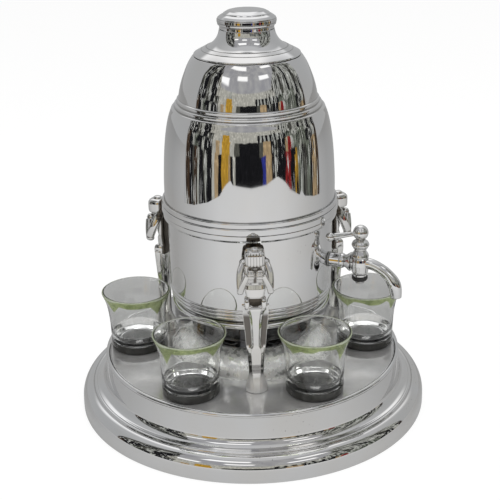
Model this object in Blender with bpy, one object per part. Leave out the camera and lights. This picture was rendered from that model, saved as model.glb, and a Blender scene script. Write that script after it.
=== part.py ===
"""A chrome samovar decanter on a round plinth, with a lift-off lid, a tap, three figures and six glasses.

Metres, +Z up, origin at the centre of the foot on the table. The tap side and the front figure face -Y.
An azimuth is counted in degrees from -Y towards +X.
"""
import math

import bmesh
import bpy
from mathutils import Vector

# Clearances and overruns
seat_gap = 0.0003
cut_overrun = 0.004

# How finely round pieces are drawn
shell_sides = 32
ring_sides = 24
glass_sides = 16
small_sides = 16
hidden_sides = 12
nut_sides = 6
spout_sides = 10
spout_steps = 8

# Base plinth
base_wall = 0.0012
foot_radius = 0.1343
foot_toe = base_wall
foot_edge_height = 0.0090
foot_flange_width = 0.006
riser_foot_radius = 0.1168
riser_foot_height = 0.0242
rim_radius = 0.1144
rim_roll_width = 0.0035
rim_roll_rise = 0.0010
floor_height = 0.042
hub_foot_radius = 0.0625
hub_top_radius = 0.048
hub_height = 0.0585
# Points of the foot's mouldings, from its upright edge in to the riser: share of the width, share of the rise
foot_moulding_shares = (
    (0.966, 0.053), (0.875, 0.120), (0.829, 0.257), (0.703, 0.329), (0.680, 0.447), (0.589, 0.553),
    (0.417, 0.572), (0.394, 0.645), (0.223, 0.717), (0.109, 0.776), (0.034, 0.882),
)
foot_line_shares = ((0.417, 0.53), (0.08, 0.74))
# Points of the rolled rim from the riser in to the floor: share of its width, share of its rise
rim_roll_shares = ((0.97, -3.2), (1.0, -1.4), (0.80, 0.4), (0.32, 1.0), (0.0, 0.0))
# Points of the hub's swell, from its foot up to its flat top: share of the width left, share of the rise
hub_swell_shares = ((0.97, 0.06), (0.86, 0.31), (0.62, 0.60), (0.29, 0.85))

# Neck drum
neck_radius = 0.0455
neck_wall = 0.001
neck_bead_rise = 0.0005
# Heights of the drum's bead as shares of the drum's height: its foot, its crown and its top
neck_bead_shares = (0.24, 0.265, 0.29)

# Foot ring of the tank
foot_ring_plate = 0.0013
foot_ring_radius = 0.0607
foot_ring_height = 0.0045
foot_ring_top = 0.0859
foot_ring_bore_radius = 0.0564
# Points of the ring's half-round, from its inner lip round to its top: shares of the width and the height
foot_ring_shares = ((0.10, 0.0), (0.56, 0.0), (0.90, 0.22), (1.0, 0.51), (0.84, 0.82), (0.51, 1.0))

# Lower tank shell
tank_wall = 0.001
tank_radius = 0.0619
tank_foot_radius = 0.0616
tank_wall_foot_height = 0.0972
tank_lower_top = 0.161
tank_cove_radius = 0.0572
tank_cove_height = 0.0020
tank_bead_pitch = 0.0030
tank_bead_depth = 0.0008
tank_bead_count = 3
tank_bead_step = 0.00035

# Middle band
band_height = 0.0146
band_bottom = 0.1506
band_lap = 0.0065
band_depth = 0.0038
band_radius = tank_radius + band_depth
# Points of the band's three beads from the bottom up: share of its thickness, share of its height
band_bead_shares = (
    (0.40, 0.014), (0.72, 0.09), (0.83, 0.24), (0.62, 0.377), (0.97, 0.45), (1.0, 0.59), (0.63, 0.74),
    (0.87, 0.84), (0.80, 0.96), (0.57, 1.0),
)

# Upper tank shell
dome_swell = 0.0015
dome_radius = tank_radius + dome_swell
dome_neck_step = 0.0013
dome_neck_radius = tank_radius + dome_neck_step
mouth_outer_radius = 0.0384
mouth_radius = 0.0337
mouth_height = 0.2706
# Points of the dome from the band up: share of the way out from the mouth's edge to the dome's widest,
# share of the height from the band to the mouth; in the rolls each third point is the bottom of a groove
dome_lower_shares = (
    (1.0, 0.112), (0.987, 0.197), (0.947, 0.340), (0.896, 0.454), (0.833, 0.539), (0.752, 0.612),
)
dome_roll_shares = (
    (0.704, 0.632), (0.660, 0.647), (0.592, 0.655), (0.600, 0.667), (0.572, 0.679), (0.516, 0.684),
    (0.520, 0.696), (0.500, 0.708), (0.472, 0.715),
)
dome_upper_shares = (
    (0.455, 0.748), (0.399, 0.805), (0.320, 0.862), (0.229, 0.914), (0.128, 0.962), (0.031, 0.993),
)

# Lid
lid_wall = 0.001
lid_radius = 0.0384
lid_rise = 0.0181
lid_top_radius = 0.0194
lid_skirt_radius = 0.0334
lid_skirt_depth = 0.0089
lid_lift = 0.060
# Points of the lid from its edge up to its top: share of its radius, share of its rise
lid_shares = (
    (0.990, 0.0), (1.0, 0.030), (0.948, 0.110), (0.885, 0.188), (0.807, 0.276), (0.690, 0.403),
    (0.620, 0.514), (0.570, 0.646), (0.531, 0.801),
)
lid_line_shares = ((0.845, 0.232), (0.690, 0.403), (0.620, 0.514), (0.570, 0.646), (0.531, 0.801))

# Lid knob and its screw
knob_radius = 0.0212
knob_height = 0.0127
# Points of the knob from its foot up: share of its radius, share of its height
knob_shares = (
    (0.920, 0.0), (0.929, 0.165), (0.985, 0.290), (1.0, 0.417), (0.985, 0.560), (0.906, 0.70),
    (0.79, 0.83), (0.66, 0.95), (0.55, 1.0),
)
knob_hole_depth = 0.008
knob_screw_radius = 0.0016
knob_screw_reach = 0.0072
knob_screw_head_radius = 0.0032
knob_screw_head_height = 0.0022
knob_washer_radius = 0.005
knob_washer_thickness = 0.0008

# Centre stud, washer and nut
stud_radius = 0.0025
stud_flange_radius = 0.009
stud_flange_thickness = 0.0016
stud_length = 0.038
stud_washer_radius = 0.012
stud_washer_thickness = 0.0011
stud_nut_width = 0.008
stud_nut_height = 0.0035

# Figures
figure_azimuths = {"figure_front": 0.0, "figure_right": 117.0, "figure_left": -117.0}
figure_standoff = 0.0141
figure_ring_radius = max(tank_foot_radius, tank_radius) + figure_standoff
figure_height = 0.1113
figure_half_width = 0.0114
figure_depth = 0.0125
# Sections of the body from the foot up: shares of the height, half-width, depth in front and depth behind
figure_body_shares = (
    (0.0, 0.71, 0.59, -0.60), (0.02, 0.71, 0.59, -0.60), (0.072, 0.47, 0.29, -0.40),
    (0.108, 0.41, 0.21, -0.29),
    (0.278, 0.50, 0.29, -0.27), (0.296, 0.53, 0.36, -0.29), (0.593, 0.83, 0.40, -0.36),
    (0.616, 0.66, 0.16, -0.36), (0.683, 0.60, 0.13, -0.37), (0.755, 0.70, 0.24, -0.38),
    (0.827, 0.76, 0.18, -0.40), (0.872, 0.82, 0.08, -0.40), (0.905, 0.42, 0.08, -0.38),
)
figure_head_shares = (
    (0.870, 0.44, 0.72, -0.10), (0.898, 0.59, 0.88, -0.30), (0.952, 0.60, 0.80, -0.40),
    (0.988, 0.49, 0.60, -0.36), (1.0, 0.28, 0.32, -0.24),
)
figure_hand_shares = ((0.820, 0.34, 0.74, 0.40), (0.835, 0.42, 0.84, 0.34), (0.878, 0.42, 0.82, 0.30))
figure_section_corner_share = 0.45
figure_foot_point_share = 0.12
figure_sole_share = 0.05
figure_arm_radius = 0.0026
figure_wrist_radius = 0.0021
figure_arm_sides = 6
# Joints of an arm: share of the depth outwards, share of the half-width, share of the height
figure_shoulder_shares = (-0.04, 0.82, 0.868)
figure_elbow_shares = (0.20, 0.80, 0.706)
figure_hand_point_shares = (0.60, 0.34, 0.852)
figure_screw_radius = 0.0015
figure_screw_reach = 0.0065
figure_screw_head_radius = 0.003
figure_screw_head_height = 0.0018
figure_washer_radius = 0.004
figure_washer_thickness = 0.0006

# Tap
tap_azimuth = 68.0
tap_reach = 0.0858
tap_rise = 0.0233
tap_height = tank_wall_foot_height + tap_rise
tap_bore_radius = 0.0019
tap_hole_radius = 0.0040
tap_tail_radius = 0.0037
tap_tail_inner_reach = 0.0338
tap_pipe_radius = 0.0052
tap_pipe_outer_reach = 0.0152
tap_gasket_radius = 0.0056
tap_gasket_thickness = 0.0011
tap_seal_radius = 0.0070
tap_seal_thickness = 0.0013
tap_nut_width = 0.011
tap_nut_thickness = 0.0038
tap_body_radius = 0.0065
tap_body_top = 0.0045
tap_body_bottom = 0.0102
tap_key_radius = 0.0033
tap_ball_radius = 0.0057
tap_ball_height = 0.0237
tap_bell_radius = 0.0064
tap_bulb_radius = 0.0067
tap_lever_turn = 37.2
tap_lever_length = 0.0240
tap_lever_root_radius = 0.0017
tap_lever_tip_radius = 0.0024
tap_lever_knob_radius = 0.0032
tap_lever_socket_depth = 0.0028
tap_washer_radius = 0.0059
tap_washer_height = 0.0032
tap_screw_radius = 0.0016
tap_screw_reach = 0.0065
tap_screw_head_radius = 0.0034
tap_screw_head_height = 0.0016
tap_collar_radius = 0.0055
tap_waist_radius = 0.0044
tap_cone_radius = 0.0073
tap_neck_radius = 0.0042
tap_spout_reach = 0.0278
tap_spout_drop = 0.0242
tap_spout_radius = 0.0050
# Points of the body below and above the shank's line: share of its radius, share of its bottom or top
tap_body_lower_shares = ((0.78, 1.0), (0.80, 0.64), (0.95, 0.44))
tap_body_upper_shares = ((0.95, 0.64), (0.86, 1.0))
# Places along the shank's line from the collar's rear face to the cone's front, as shares of the pipe's reach
tap_collar_place_shares = (0.98, 0.85, 0.75, 0.45, 0.30)
# Points of the finial above the body: share of the widest radius of its own part, share of the ball's height
tap_bell_shares = ((1.0, 0.203), (1.0, 0.249), (0.875, 0.342), (0.672, 0.409), (0.640, 0.443))
tap_bulb_shares = ((0.806, 0.511), (1.0, 0.608), (0.836, 0.705), (0.537, 0.768), (0.478, 0.793))
# The spout's centre line from the valve: share of its reach, share of its drop, share of its fullest radius
tap_spout_shares = (
    (0.08, 0.0, 0.82), (0.26, 0.005, 0.82), (0.457, 0.074, 0.82), (0.655, 0.202, 0.83), (0.831, 0.397, 0.90),
    (0.935, 0.599, 1.0), (0.978, 0.785, 0.94), (1.0, 1.0, 0.82),
)

# Glasses
glass_count = 6
glass_first_azimuth = -32.0
glass_ring_radius = 0.0892
glass_foot_radius = 0.0209
glass_foot_height = 0.006
glass_height = 0.0466
glass_rim_radius = 0.0267
glass_bottom_thickness = 0.0046
# Points of the outside from the foot up: radius as a share of the rim's, height share
glass_outer_shares = (
    (0.789, 0.0), (0.800, 0.233), (0.823, 0.481), (0.860, 0.680), (0.921, 0.854), (1.0, 0.985),
)
# Points of the inside from the lip down: radius as a share of the rim's, height share
glass_inner_shares = (
    (0.975, 1.0), (0.900, 1.0), (0.838, 0.839), (0.780, 0.670), (0.745, 0.471), (0.712, 0.17),
)
glass_well_share = 0.62
glass_foot_bevel_share = 0.10


def clear_scene():
    """Remove every object, so that the model starts from nothing."""
    for item in list(bpy.data.objects):
        bpy.data.objects.remove(item, do_unlink=True)


def make_material(name, colour, metallic, roughness, alpha=1.0):
    """Return a Principled material."""
    material = bpy.data.materials.new(name)
    material.use_nodes = True
    shader = material.node_tree.nodes["Principled BSDF"]
    shader.inputs["Base Color"].default_value = (*colour, 1.0)
    shader.inputs["Metallic"].default_value = metallic
    shader.inputs["Roughness"].default_value = roughness
    shader.inputs["Alpha"].default_value = alpha
    return material


def place(item, azimuth=0.0, radius=0.0, height=0.0):
    """Put an object's local +X outwards at an azimuth, at a radius and a height."""
    angle = math.radians(azimuth - 90.0)
    item.location = (radius * math.cos(angle), radius * math.sin(angle), height)
    item.rotation_euler = (0.0, 0.0, angle)
    return item


def add_object(name, vertices, faces, material, smooth=True):
    """Make an object from points and faces, with its faces pointing outwards."""
    mesh = bpy.data.meshes.new(name)
    mesh.from_pydata(vertices, [], faces)
    build = bmesh.new()
    build.from_mesh(mesh)
    bmesh.ops.recalc_face_normals(build, faces=build.faces)
    build.to_mesh(mesh)
    build.free()
    if smooth:
        mesh.shade_smooth()
        mesh.set_sharp_from_angle(angle=math.radians(30.0))
    item = bpy.data.objects.new(name, mesh)
    bpy.context.scene.collection.objects.link(item)
    if material:
        mesh.materials.append(material)
    return item


def turned_mesh(outline, sides):
    """Return the points and faces of a closed outline of (radius, height) turned about Z."""
    vertices = []
    rings = []
    for radius, height in outline:
        if radius == 0.0:
            rings.append([len(vertices)] * sides)
            vertices.append((0.0, 0.0, height))
            continue
        rings.append(list(range(len(vertices), len(vertices) + sides)))
        for index in range(sides):
            angle = 2.0 * math.pi * index / sides
            vertices.append((radius * math.cos(angle), radius * math.sin(angle), height))
    faces = []
    for first, second in zip(rings, rings[1:] + rings[:1]):
        for index in range(sides):
            after = (index + 1) % sides
            corners = [first[index], first[after], second[after], second[index]]
            corners = list(dict.fromkeys(corners))
            if len(corners) > 2:
                faces.append(corners)
    return vertices, faces


def turned(name, outline, sides, material, smooth=True):
    """Make an object by turning a closed outline about Z."""
    return add_object(name, *turned_mesh(outline, sides), material, smooth)


def turned_along_x(name, outline, sides, material, smooth=True):
    """Make an object by turning a closed outline of (radius, place along X) about X."""
    vertices, faces = turned_mesh(outline, sides)
    return add_object(name, [(z, x, y) for x, y, z in vertices], faces, material, smooth)


def inset(line, wall):
    """Return an open line moved to its left by a wall, with mitred corners."""
    points = [Vector(point) for point in line]
    normals = []
    for start, end in zip(points, points[1:]):
        run = (end - start).normalized()
        normals.append(Vector((-run.y, run.x)))
    moved = [points[0] + normals[0] * wall]
    for point, before, after in zip(points[1:-1], normals, normals[1:]):
        moved.append(point + (before + after) * wall / (1.0 + before.dot(after)))
    moved.append(points[-1] + normals[-1] * wall)
    return [tuple(point) for point in moved]


def tapered_tube(name, path, radii, sides, material=None):
    """Make a closed tube along a path of points, with a radius at each."""
    vertices = []
    points = [Vector(point) for point in path]
    across = Vector((0.0, 1.0, 0.0))
    for index, (point, radius) in enumerate(zip(points, radii)):
        before = points[max(index - 1, 0)]
        after = points[min(index + 1, len(points) - 1)]
        along = (after - before).normalized()
        up = along.cross(across).normalized()
        side = up.cross(along).normalized()
        for step in range(sides):
            angle = 2.0 * math.pi * step / sides
            vertices.append(point + radius * (math.cos(angle) * side + math.sin(angle) * up))
    faces = [list(range(sides)), list(range(len(vertices) - sides, len(vertices)))]
    for ring in range(len(points) - 1):
        for step in range(sides):
            after = (step + 1) % sides
            faces.append([ring * sides + step, ring * sides + after,
                          (ring + 1) * sides + after, (ring + 1) * sides + step])
    return add_object(name, vertices, faces, material)


def ring_outline(hole_radius, radius, bottom, top):
    """Return the outline of a flat ring, or of a solid disc for a hole of zero."""
    return [(hole_radius, bottom), (radius, bottom), (radius, top), (hole_radius, top)]


def hide_tool(item):
    """Keep a shape that only cuts or joins out of the model."""
    item.hide_render = True
    item.display_type = "WIRE"
    return item


def combine(item, tool, operation):
    """Cut a tool from an object, or join it on, with an exact Boolean."""
    modifier = item.modifiers.new(tool.name, "BOOLEAN")
    modifier.operation = operation
    modifier.solver = "EXACT"
    modifier.object = hide_tool(tool)


def hexagon_corner(width):
    """Return the corner radius of a nut of a width across its flats."""
    return width / math.sqrt(3.0)


def headed_screw(shank_radius, reach, head_radius, head_height):
    """Return the outline of a screw whose head hangs below height zero and whose shank reaches up."""
    return [(0.0, -head_height), (head_radius, -head_height), (head_radius, 0.0), (shank_radius, 0.0),
            (shank_radius, reach), (0.0, reach)]


def upright_rod(name, radius, bottom, top, sides, material=None):
    """Make a solid rod about Z between two heights."""
    return turned(name, [(0.0, bottom), (radius, bottom), (radius, top), (0.0, top)], sides, material)


def copy_at(name, shape, azimuth, radius, height):
    """Place another object of the same mesh at an azimuth, a radius and a height."""
    item = bpy.data.objects.new(name, shape)
    bpy.context.scene.collection.objects.link(item)
    return place(item, azimuth, radius, height)


def turned_mesh_data(name, outline, sides, material):
    """Return the mesh alone of a turned piece, for its copies."""
    item = turned(name, outline, sides, material)
    shape = item.data
    bpy.data.objects.remove(item, do_unlink=True)
    return shape


def foot_point(share):
    """Return a point between the foot's upright edge and the riser's foot."""
    across, up = share
    return (riser_foot_radius + across * (foot_radius - riser_foot_radius),
            foot_edge_height + up * (riser_foot_height - foot_edge_height))


def hub_point(share):
    """Return a point between the hub's foot and its flat top."""
    across, up = share
    return (hub_top_radius + across * (hub_foot_radius - hub_top_radius),
            floor_height + up * (hub_height - floor_height))


def make_base(chrome):
    """The plinth: one spun shell from the flanged foot up to the hub, with screw holes in floor and hub."""
    stud_hole = stud_radius + seat_gap
    start = [(foot_radius - foot_flange_width, 0.0), (foot_radius, 0.0), (foot_radius, foot_edge_height)]
    toe = [start[0], (foot_radius - foot_toe, 0.0), (foot_radius, foot_toe), start[2]]
    rim_inner = rim_radius - rim_roll_width
    rim = [(rim_inner + across * rim_roll_width, floor_height + up * rim_roll_rise)
           for across, up in rim_roll_shares]
    hub = [(hub_foot_radius, floor_height)] + [hub_point(share) for share in hub_swell_shares]
    hub += [(hub_top_radius, hub_height), (stud_hole, hub_height)]
    riser = [(riser_foot_radius, riser_foot_height)]
    outer = toe + [foot_point(share) for share in foot_moulding_shares] + riser + rim + hub
    line = start + [foot_point(share) for share in foot_line_shares] + riser
    line += [(rim_radius - rim_roll_rise / 2.0, floor_height)] + hub
    base = turned("base_plinth", outer + inset(line, base_wall)[::-1], shell_sides, chrome)
    for index, azimuth in enumerate(figure_azimuths.values()):
        hole = upright_rod(f"floor_hole_{index}", figure_screw_radius + seat_gap, -cut_overrun, cut_overrun,
                           small_sides)
        place(hole, azimuth, figure_ring_radius, floor_height)
        hole.rotation_euler.z += math.pi / small_sides
        combine(base, hole, "DIFFERENCE")


def make_neck(chrome):
    """The drum that carries the tank on the hub, with a fine bead round it."""
    bottom = hub_height + seat_gap
    height = foot_ring_top - foot_ring_plate - seat_gap - bottom
    low, crown, high = neck_bead_shares
    outline = [(neck_radius - neck_wall, bottom), (neck_radius, bottom), (neck_radius, bottom + low * height),
               (neck_radius + neck_bead_rise, bottom + crown * height), (neck_radius, bottom + high * height),
               (neck_radius, bottom + height), (neck_radius - neck_wall, bottom + height)]
    turned("neck_drum", outline, shell_sides, chrome)


def make_foot_ring(chrome):
    """The closed plate under the tank, with a half-round bead round its edge."""
    bottom = foot_ring_top - foot_ring_height
    width = foot_ring_radius - foot_ring_bore_radius
    plate_bottom = foot_ring_top - foot_ring_plate
    outline = [(0.0, plate_bottom), (foot_ring_bore_radius, plate_bottom)]
    for across, up in foot_ring_shares:
        outline.append((foot_ring_bore_radius + across * width, bottom + up * foot_ring_height))
    turned("tank_foot_ring", outline + [(0.0, foot_ring_top)], shell_sides, chrome)


def make_centre_stud(steel, brass):
    """The stud soldered under the foot ring, and the washer and nut that clamp it under the hub."""
    top = foot_ring_top - foot_ring_plate - seat_gap
    flange = top - stud_flange_thickness
    outline = [(0.0, top - stud_length), (stud_radius, top - stud_length), (stud_radius, flange),
               (stud_flange_radius, flange), (stud_flange_radius, top), (0.0, top)]
    turned("centre_stud", outline, hidden_sides, brass)
    hole = stud_radius + seat_gap
    washer_top = hub_height - base_wall - seat_gap
    washer_bottom = washer_top - stud_washer_thickness
    ring = ring_outline(hole, stud_washer_radius, washer_bottom, washer_top)
    turned("centre_washer", ring, hidden_sides, steel)
    nut_top = washer_bottom - seat_gap
    nut_bottom = nut_top - stud_nut_height
    hexagon = ring_outline(0.0, hexagon_corner(stud_nut_width), nut_bottom, nut_top)
    nut = turned("centre_nut", hexagon, nut_sides, brass, smooth=False)
    combine(nut, upright_rod("nut_hole", hole, nut_bottom - cut_overrun, nut_top + cut_overrun, hidden_sides),
            "DIFFERENCE")


def tank_radius_at(height):
    """Return the lower shell's outer radius on its nearly straight wall."""
    share = (height - tank_wall_foot_height) / (band_bottom - tank_wall_foot_height)
    return tank_foot_radius + min(share, 1.0) * (tank_radius - tank_foot_radius)


def make_lower_tank(chrome):
    """The lower tank shell: a cup with a cove and three fine beads at its foot, and a hole for the tap."""
    bottom = foot_ring_top + seat_gap
    outline = [(0.0, bottom), (tank_cove_radius, bottom), (tank_cove_radius, bottom + tank_cove_height)]
    for below in range(tank_bead_count, 0, -1):
        foot = tank_wall_foot_height - below * tank_bead_pitch
        radius = tank_foot_radius - (below - 1) * tank_bead_step
        outline += [(radius - tank_bead_depth, foot), (radius, foot + tank_bead_pitch / 3.0),
                    (radius, foot + 2.0 * tank_bead_pitch / 3.0)]
    wall = [(tank_foot_radius - tank_bead_depth, tank_wall_foot_height),
            (tank_foot_radius, tank_wall_foot_height + tank_bead_depth),
            (tank_radius, band_bottom), (tank_radius, tank_lower_top)]
    line = [(0.0, bottom), (tank_cove_radius, bottom), (tank_cove_radius, bottom + tank_cove_height),
            (tank_foot_radius - tank_bead_depth, tank_wall_foot_height),
            (tank_foot_radius, tank_wall_foot_height + tank_bead_depth),
            (tank_radius, band_bottom), (tank_radius, tank_lower_top)]
    tank = turned("tank_lower_shell", outline + wall + inset(line, tank_wall)[::-1], shell_sides, chrome)
    drill = ring_outline(0.0, tap_hole_radius, -cut_overrun, cut_overrun)
    hole = turned_along_x("tap_hole", drill, small_sides, None)
    combine(tank, place(hole, tap_azimuth, tank_radius_at(tap_height), tap_height), "DIFFERENCE")


def make_band(chrome):
    """The beaded band round the lap of the two shells, with an inner step that carries the upper one."""
    inner = tank_radius + seat_gap
    upper_inner = dome_neck_radius + seat_gap
    outline = [(inner, band_bottom)]
    for across, up in band_bead_shares:
        outline.append((inner + across * (band_radius - inner), band_bottom + up * band_height))
    outline += [(upper_inner, band_bottom + band_height), (upper_inner, band_bottom + band_lap),
                (inner, band_bottom + band_lap)]
    turned("mid_band", outline, shell_sides, chrome)


def dome_point(share):
    """Return a point of the dome between the band's top and the mouth."""
    across, up = share
    start = band_bottom + band_height
    return (mouth_outer_radius + across * (dome_radius - mouth_outer_radius),
            start + up * (mouth_height - start))


def make_upper_tank(chrome):
    """The beehive shell from the band up to the mouth, with three stepped rolls below its shoulder."""
    bottom = band_bottom + band_lap + seat_gap
    foot = [(dome_neck_radius, bottom), (dome_neck_radius, band_bottom + band_height)]
    lower = [dome_point(share) for share in dome_lower_shares]
    rolls = [dome_point(share) for share in dome_roll_shares]
    upper = [dome_point(share) for share in dome_upper_shares]
    lip = [(mouth_outer_radius, mouth_height), (mouth_radius, mouth_height)]
    line = foot + lower[1::2] + rolls[2::3] + upper[1::2] + lip
    turned("tank_upper_shell", foot + lower + rolls + upper + lip + inset(line, tank_wall)[::-1], shell_sides,
           chrome)


def lid_point(share):
    """Return a point of the lid above its own seat at height zero."""
    across, up = share
    return (across * lid_radius, up * lid_rise)


def make_lid(chrome):
    """The lid: a concave flare with a locating skirt, made about its seat on the mouth."""
    hole = knob_screw_radius + seat_gap
    outer = [(lid_skirt_radius, -lid_skirt_depth), (lid_skirt_radius, 0.0)]
    outer += [lid_point(share) for share in lid_shares]
    outer += [(lid_top_radius, lid_rise), (hole, lid_rise)]
    skirt_inner = lid_skirt_radius - lid_wall
    line = [lid_point(share) for share in lid_line_shares] + [(lid_top_radius, lid_rise), (hole, lid_rise)]
    under = inset(line, lid_wall)
    inner = [(skirt_inner, -lid_skirt_depth), (skirt_inner, under[0][1])] + under[1:]
    lid = turned("lid_dome", outer + inner[::-1], shell_sides, chrome)
    lid.location.z = lid_seat()


def lid_seat():
    """Return the height of the lid's seat."""
    return mouth_height + seat_gap


def make_knob(chrome, steel):
    """The knob on the lid, and the screw and washer that hold it from inside."""
    bottom = lid_seat() + lid_rise + seat_gap
    hole = knob_screw_radius + seat_gap
    outline = [(hole, 0.0)] + [(across * knob_radius, up * knob_height) for across, up in knob_shares]
    outline += [(0.0, knob_height), (0.0, knob_hole_depth), (hole, knob_hole_depth)]
    knob = turned("lid_knob", outline, ring_sides, chrome)
    knob.location.z = bottom
    washer_top = lid_seat() + lid_rise - lid_wall - seat_gap
    washer_bottom = washer_top - knob_washer_thickness
    ring = ring_outline(hole, knob_washer_radius, washer_bottom, washer_top)
    turned("knob_washer", ring, hidden_sides, steel)
    seat = washer_bottom - seat_gap
    reach = bottom + knob_screw_reach - seat
    screw = turned("knob_screw", headed_screw(knob_screw_radius, reach, knob_screw_head_radius,
                                              knob_screw_head_height), hidden_sides, steel)
    screw.location.z = seat


def section_loft(name, table, pointed=False):
    """Join eight-cornered sections from a table of height, half-width, front and back shares."""
    vertices = []
    corner = figure_section_corner_share
    for up, half, front, back in table:
        width = half * figure_half_width
        fore = front * figure_depth
        aft = back * figure_depth
        middle = (fore + aft) / 2.0
        reach = (fore - aft) / 2.0
        point = figure_foot_point_share * figure_depth if pointed and up < figure_sole_share else 0.0
        for x, y in ((fore + point, -corner * width), (fore + point, corner * width),
                     (middle + corner * reach, width), (middle - corner * reach, width),
                     (aft, corner * width), (aft, -corner * width),
                     (middle - corner * reach, -width), (middle + corner * reach, -width)):
            vertices.append((x, y, up * figure_height))
    sides = 8
    faces = [list(range(sides)), list(range(len(vertices) - sides, len(vertices)))]
    for ring in range(len(table) - 1):
        for step in range(sides):
            after = (step + 1) % sides
            faces.append([ring * sides + step, ring * sides + after,
                          (ring + 1) * sides + after, (ring + 1) * sides + step])
    return add_object(name, vertices, faces, None, smooth=False)


def arm_point(shares, side):
    """Return a joint of one arm."""
    out, across, up = shares
    return (out * figure_depth, side * across * figure_half_width, up * figure_height)


def make_figures(chrome, steel):
    """Three cast figures, each screwed to the floor from below."""
    master = section_loft("figure_body", figure_body_shares, pointed=True)
    master.data.materials.append(chrome)
    combine(master, section_loft("figure_head", figure_head_shares), "UNION")
    combine(master, section_loft("figure_hands", figure_hand_shares), "UNION")
    for label, side in (("near", -1.0), ("far", 1.0)):
        shoulder = arm_point(figure_shoulder_shares, side)
        elbow = arm_point(figure_elbow_shares, side)
        hand = arm_point(figure_hand_point_shares, side)
        upper_arm = tapered_tube(f"upper_arm_{label}", [shoulder, elbow],
                                 [figure_arm_radius, figure_arm_radius], figure_arm_sides)
        forearm = tapered_tube(f"forearm_{label}", [elbow, hand],
                               [figure_arm_radius, figure_wrist_radius], figure_arm_sides)
        combine(master, upper_arm, "UNION")
        combine(master, forearm, "UNION")
    hole = upright_rod("figure_hole", figure_screw_radius + seat_gap, -cut_overrun,
                       figure_screw_reach + figure_screw_radius, hidden_sides)
    combine(master, hole, "DIFFERENCE")
    bpy.context.view_layer.update()
    shape = bpy.data.meshes.new_from_object(master.evaluated_get(bpy.context.evaluated_depsgraph_get()))
    bpy.data.objects.remove(master, do_unlink=True)
    height = floor_height + seat_gap
    washer_top = floor_height - base_wall - seat_gap
    ring = ring_outline(figure_screw_radius + seat_gap, figure_washer_radius, -figure_washer_thickness, 0.0)
    ring_shape = turned_mesh_data("figure_washer", ring, hidden_sides, steel)
    seat = washer_top - figure_washer_thickness - seat_gap
    screw = headed_screw(figure_screw_radius, height + figure_screw_reach - seat, figure_screw_head_radius,
                         figure_screw_head_height)
    screw_shape = turned_mesh_data("figure_screw", screw, hidden_sides, steel)
    for name, azimuth in figure_azimuths.items():
        copy_at(name, shape, azimuth, figure_ring_radius, height)
        copy_at(f"{name}_washer", ring_shape, azimuth, figure_ring_radius, washer_top)
        copy_at(f"{name}_screw", screw_shape, azimuth, figure_ring_radius, seat)


def at_tap(item):
    """Put a piece made about the tap's valve in its place on the tank."""
    return place(item, tap_azimuth, tap_reach, tap_height)


def tap_wall_place():
    """Return the widest place of the tank wall behind the pipe, along the tap's own X."""
    above = tank_radius_at(tap_height + tap_pipe_radius)
    below = tank_radius_at(tap_height - tap_pipe_radius)
    return max(above, below) - tap_reach


def seal_place():
    """Return where the flat seal's face clears the flats of the round inner wall, along the tap's own X."""
    above = tank_radius_at(tap_height + tap_seal_radius)
    below = tank_radius_at(tap_height - tap_seal_radius)
    flat_radius = (min(above, below) - tank_wall) * math.cos(math.pi / shell_sides)
    return math.sqrt(flat_radius ** 2 - tap_seal_radius ** 2) - tap_reach - seat_gap


def make_shank(chrome, rubber, brass):
    """The pipe through the tank wall, with a shaped gasket outside and a seal and nut inside."""
    wall = tap_wall_place()
    gasket_face = wall + tap_gasket_thickness
    pipe_back = gasket_face + seat_gap
    tail = -tap_tail_inner_reach
    outline = [(tap_bore_radius, tail), (tap_tail_radius, tail), (tap_tail_radius, pipe_back),
               (tap_pipe_radius, pipe_back), (tap_pipe_radius, -tap_pipe_outer_reach),
               (tap_bore_radius, -tap_pipe_outer_reach)]
    at_tap(turned_along_x("tap_shank", outline, small_sides, chrome))
    hole = tap_tail_radius + seat_gap
    inner_end = wall - cut_overrun
    gasket_outline = ring_outline(hole, tap_gasket_radius, inner_end, gasket_face)
    gasket = at_tap(turned_along_x("tap_gasket", gasket_outline, small_sides, rubber))
    lowest = tap_height - tap_gasket_radius - cut_overrun
    highest = tap_height + tap_gasket_radius + cut_overrun
    rounding = turned("gasket_rounding", [(0.0, lowest), (tank_radius_at(lowest) + seat_gap, lowest),
                                          (tank_radius_at(highest) + seat_gap, highest), (0.0, highest)],
                      shell_sides * 2, None)
    rounding.rotation_euler.z = math.radians(tap_azimuth - 90.0)
    combine(gasket, rounding, "DIFFERENCE")
    seal_face = seal_place()
    seal_back = seal_face - tap_seal_thickness
    seal = ring_outline(hole, tap_seal_radius, seal_back, seal_face)
    at_tap(turned_along_x("tap_seal", seal, hidden_sides, rubber))
    nut_face = seal_back - seat_gap
    nut_back = nut_face - tap_nut_thickness
    hexagon = ring_outline(0.0, hexagon_corner(tap_nut_width), nut_back, nut_face)
    nut = at_tap(turned_along_x("tap_nut", hexagon, nut_sides, brass, smooth=False))
    nut_hole = ring_outline(0.0, hole, nut_back - cut_overrun, nut_face + cut_overrun)
    combine(nut, at_tap(turned_along_x("tap_nut_hole", nut_hole, small_sides, None)), "DIFFERENCE")


def spout_line():
    """Return smooth points and radii along the spout, through its hand-set points."""
    knots = [(x * tap_spout_reach, -z * tap_spout_drop, r * tap_spout_radius) for x, z, r in tap_spout_shares]
    points = []
    for step in range(spout_steps + 1):
        place_on = step / spout_steps * (len(knots) - 1)
        first = min(int(place_on), len(knots) - 2)
        share = place_on - first
        around = [knots[max(first - 1, 0)], knots[first], knots[first + 1],
                  knots[min(first + 2, len(knots) - 1)]]
        points.append([catmull(values, share) for values in zip(*around)])
    return [(x, 0.0, z) for x, z, _ in points], [radius for _, _, radius in points]


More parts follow.
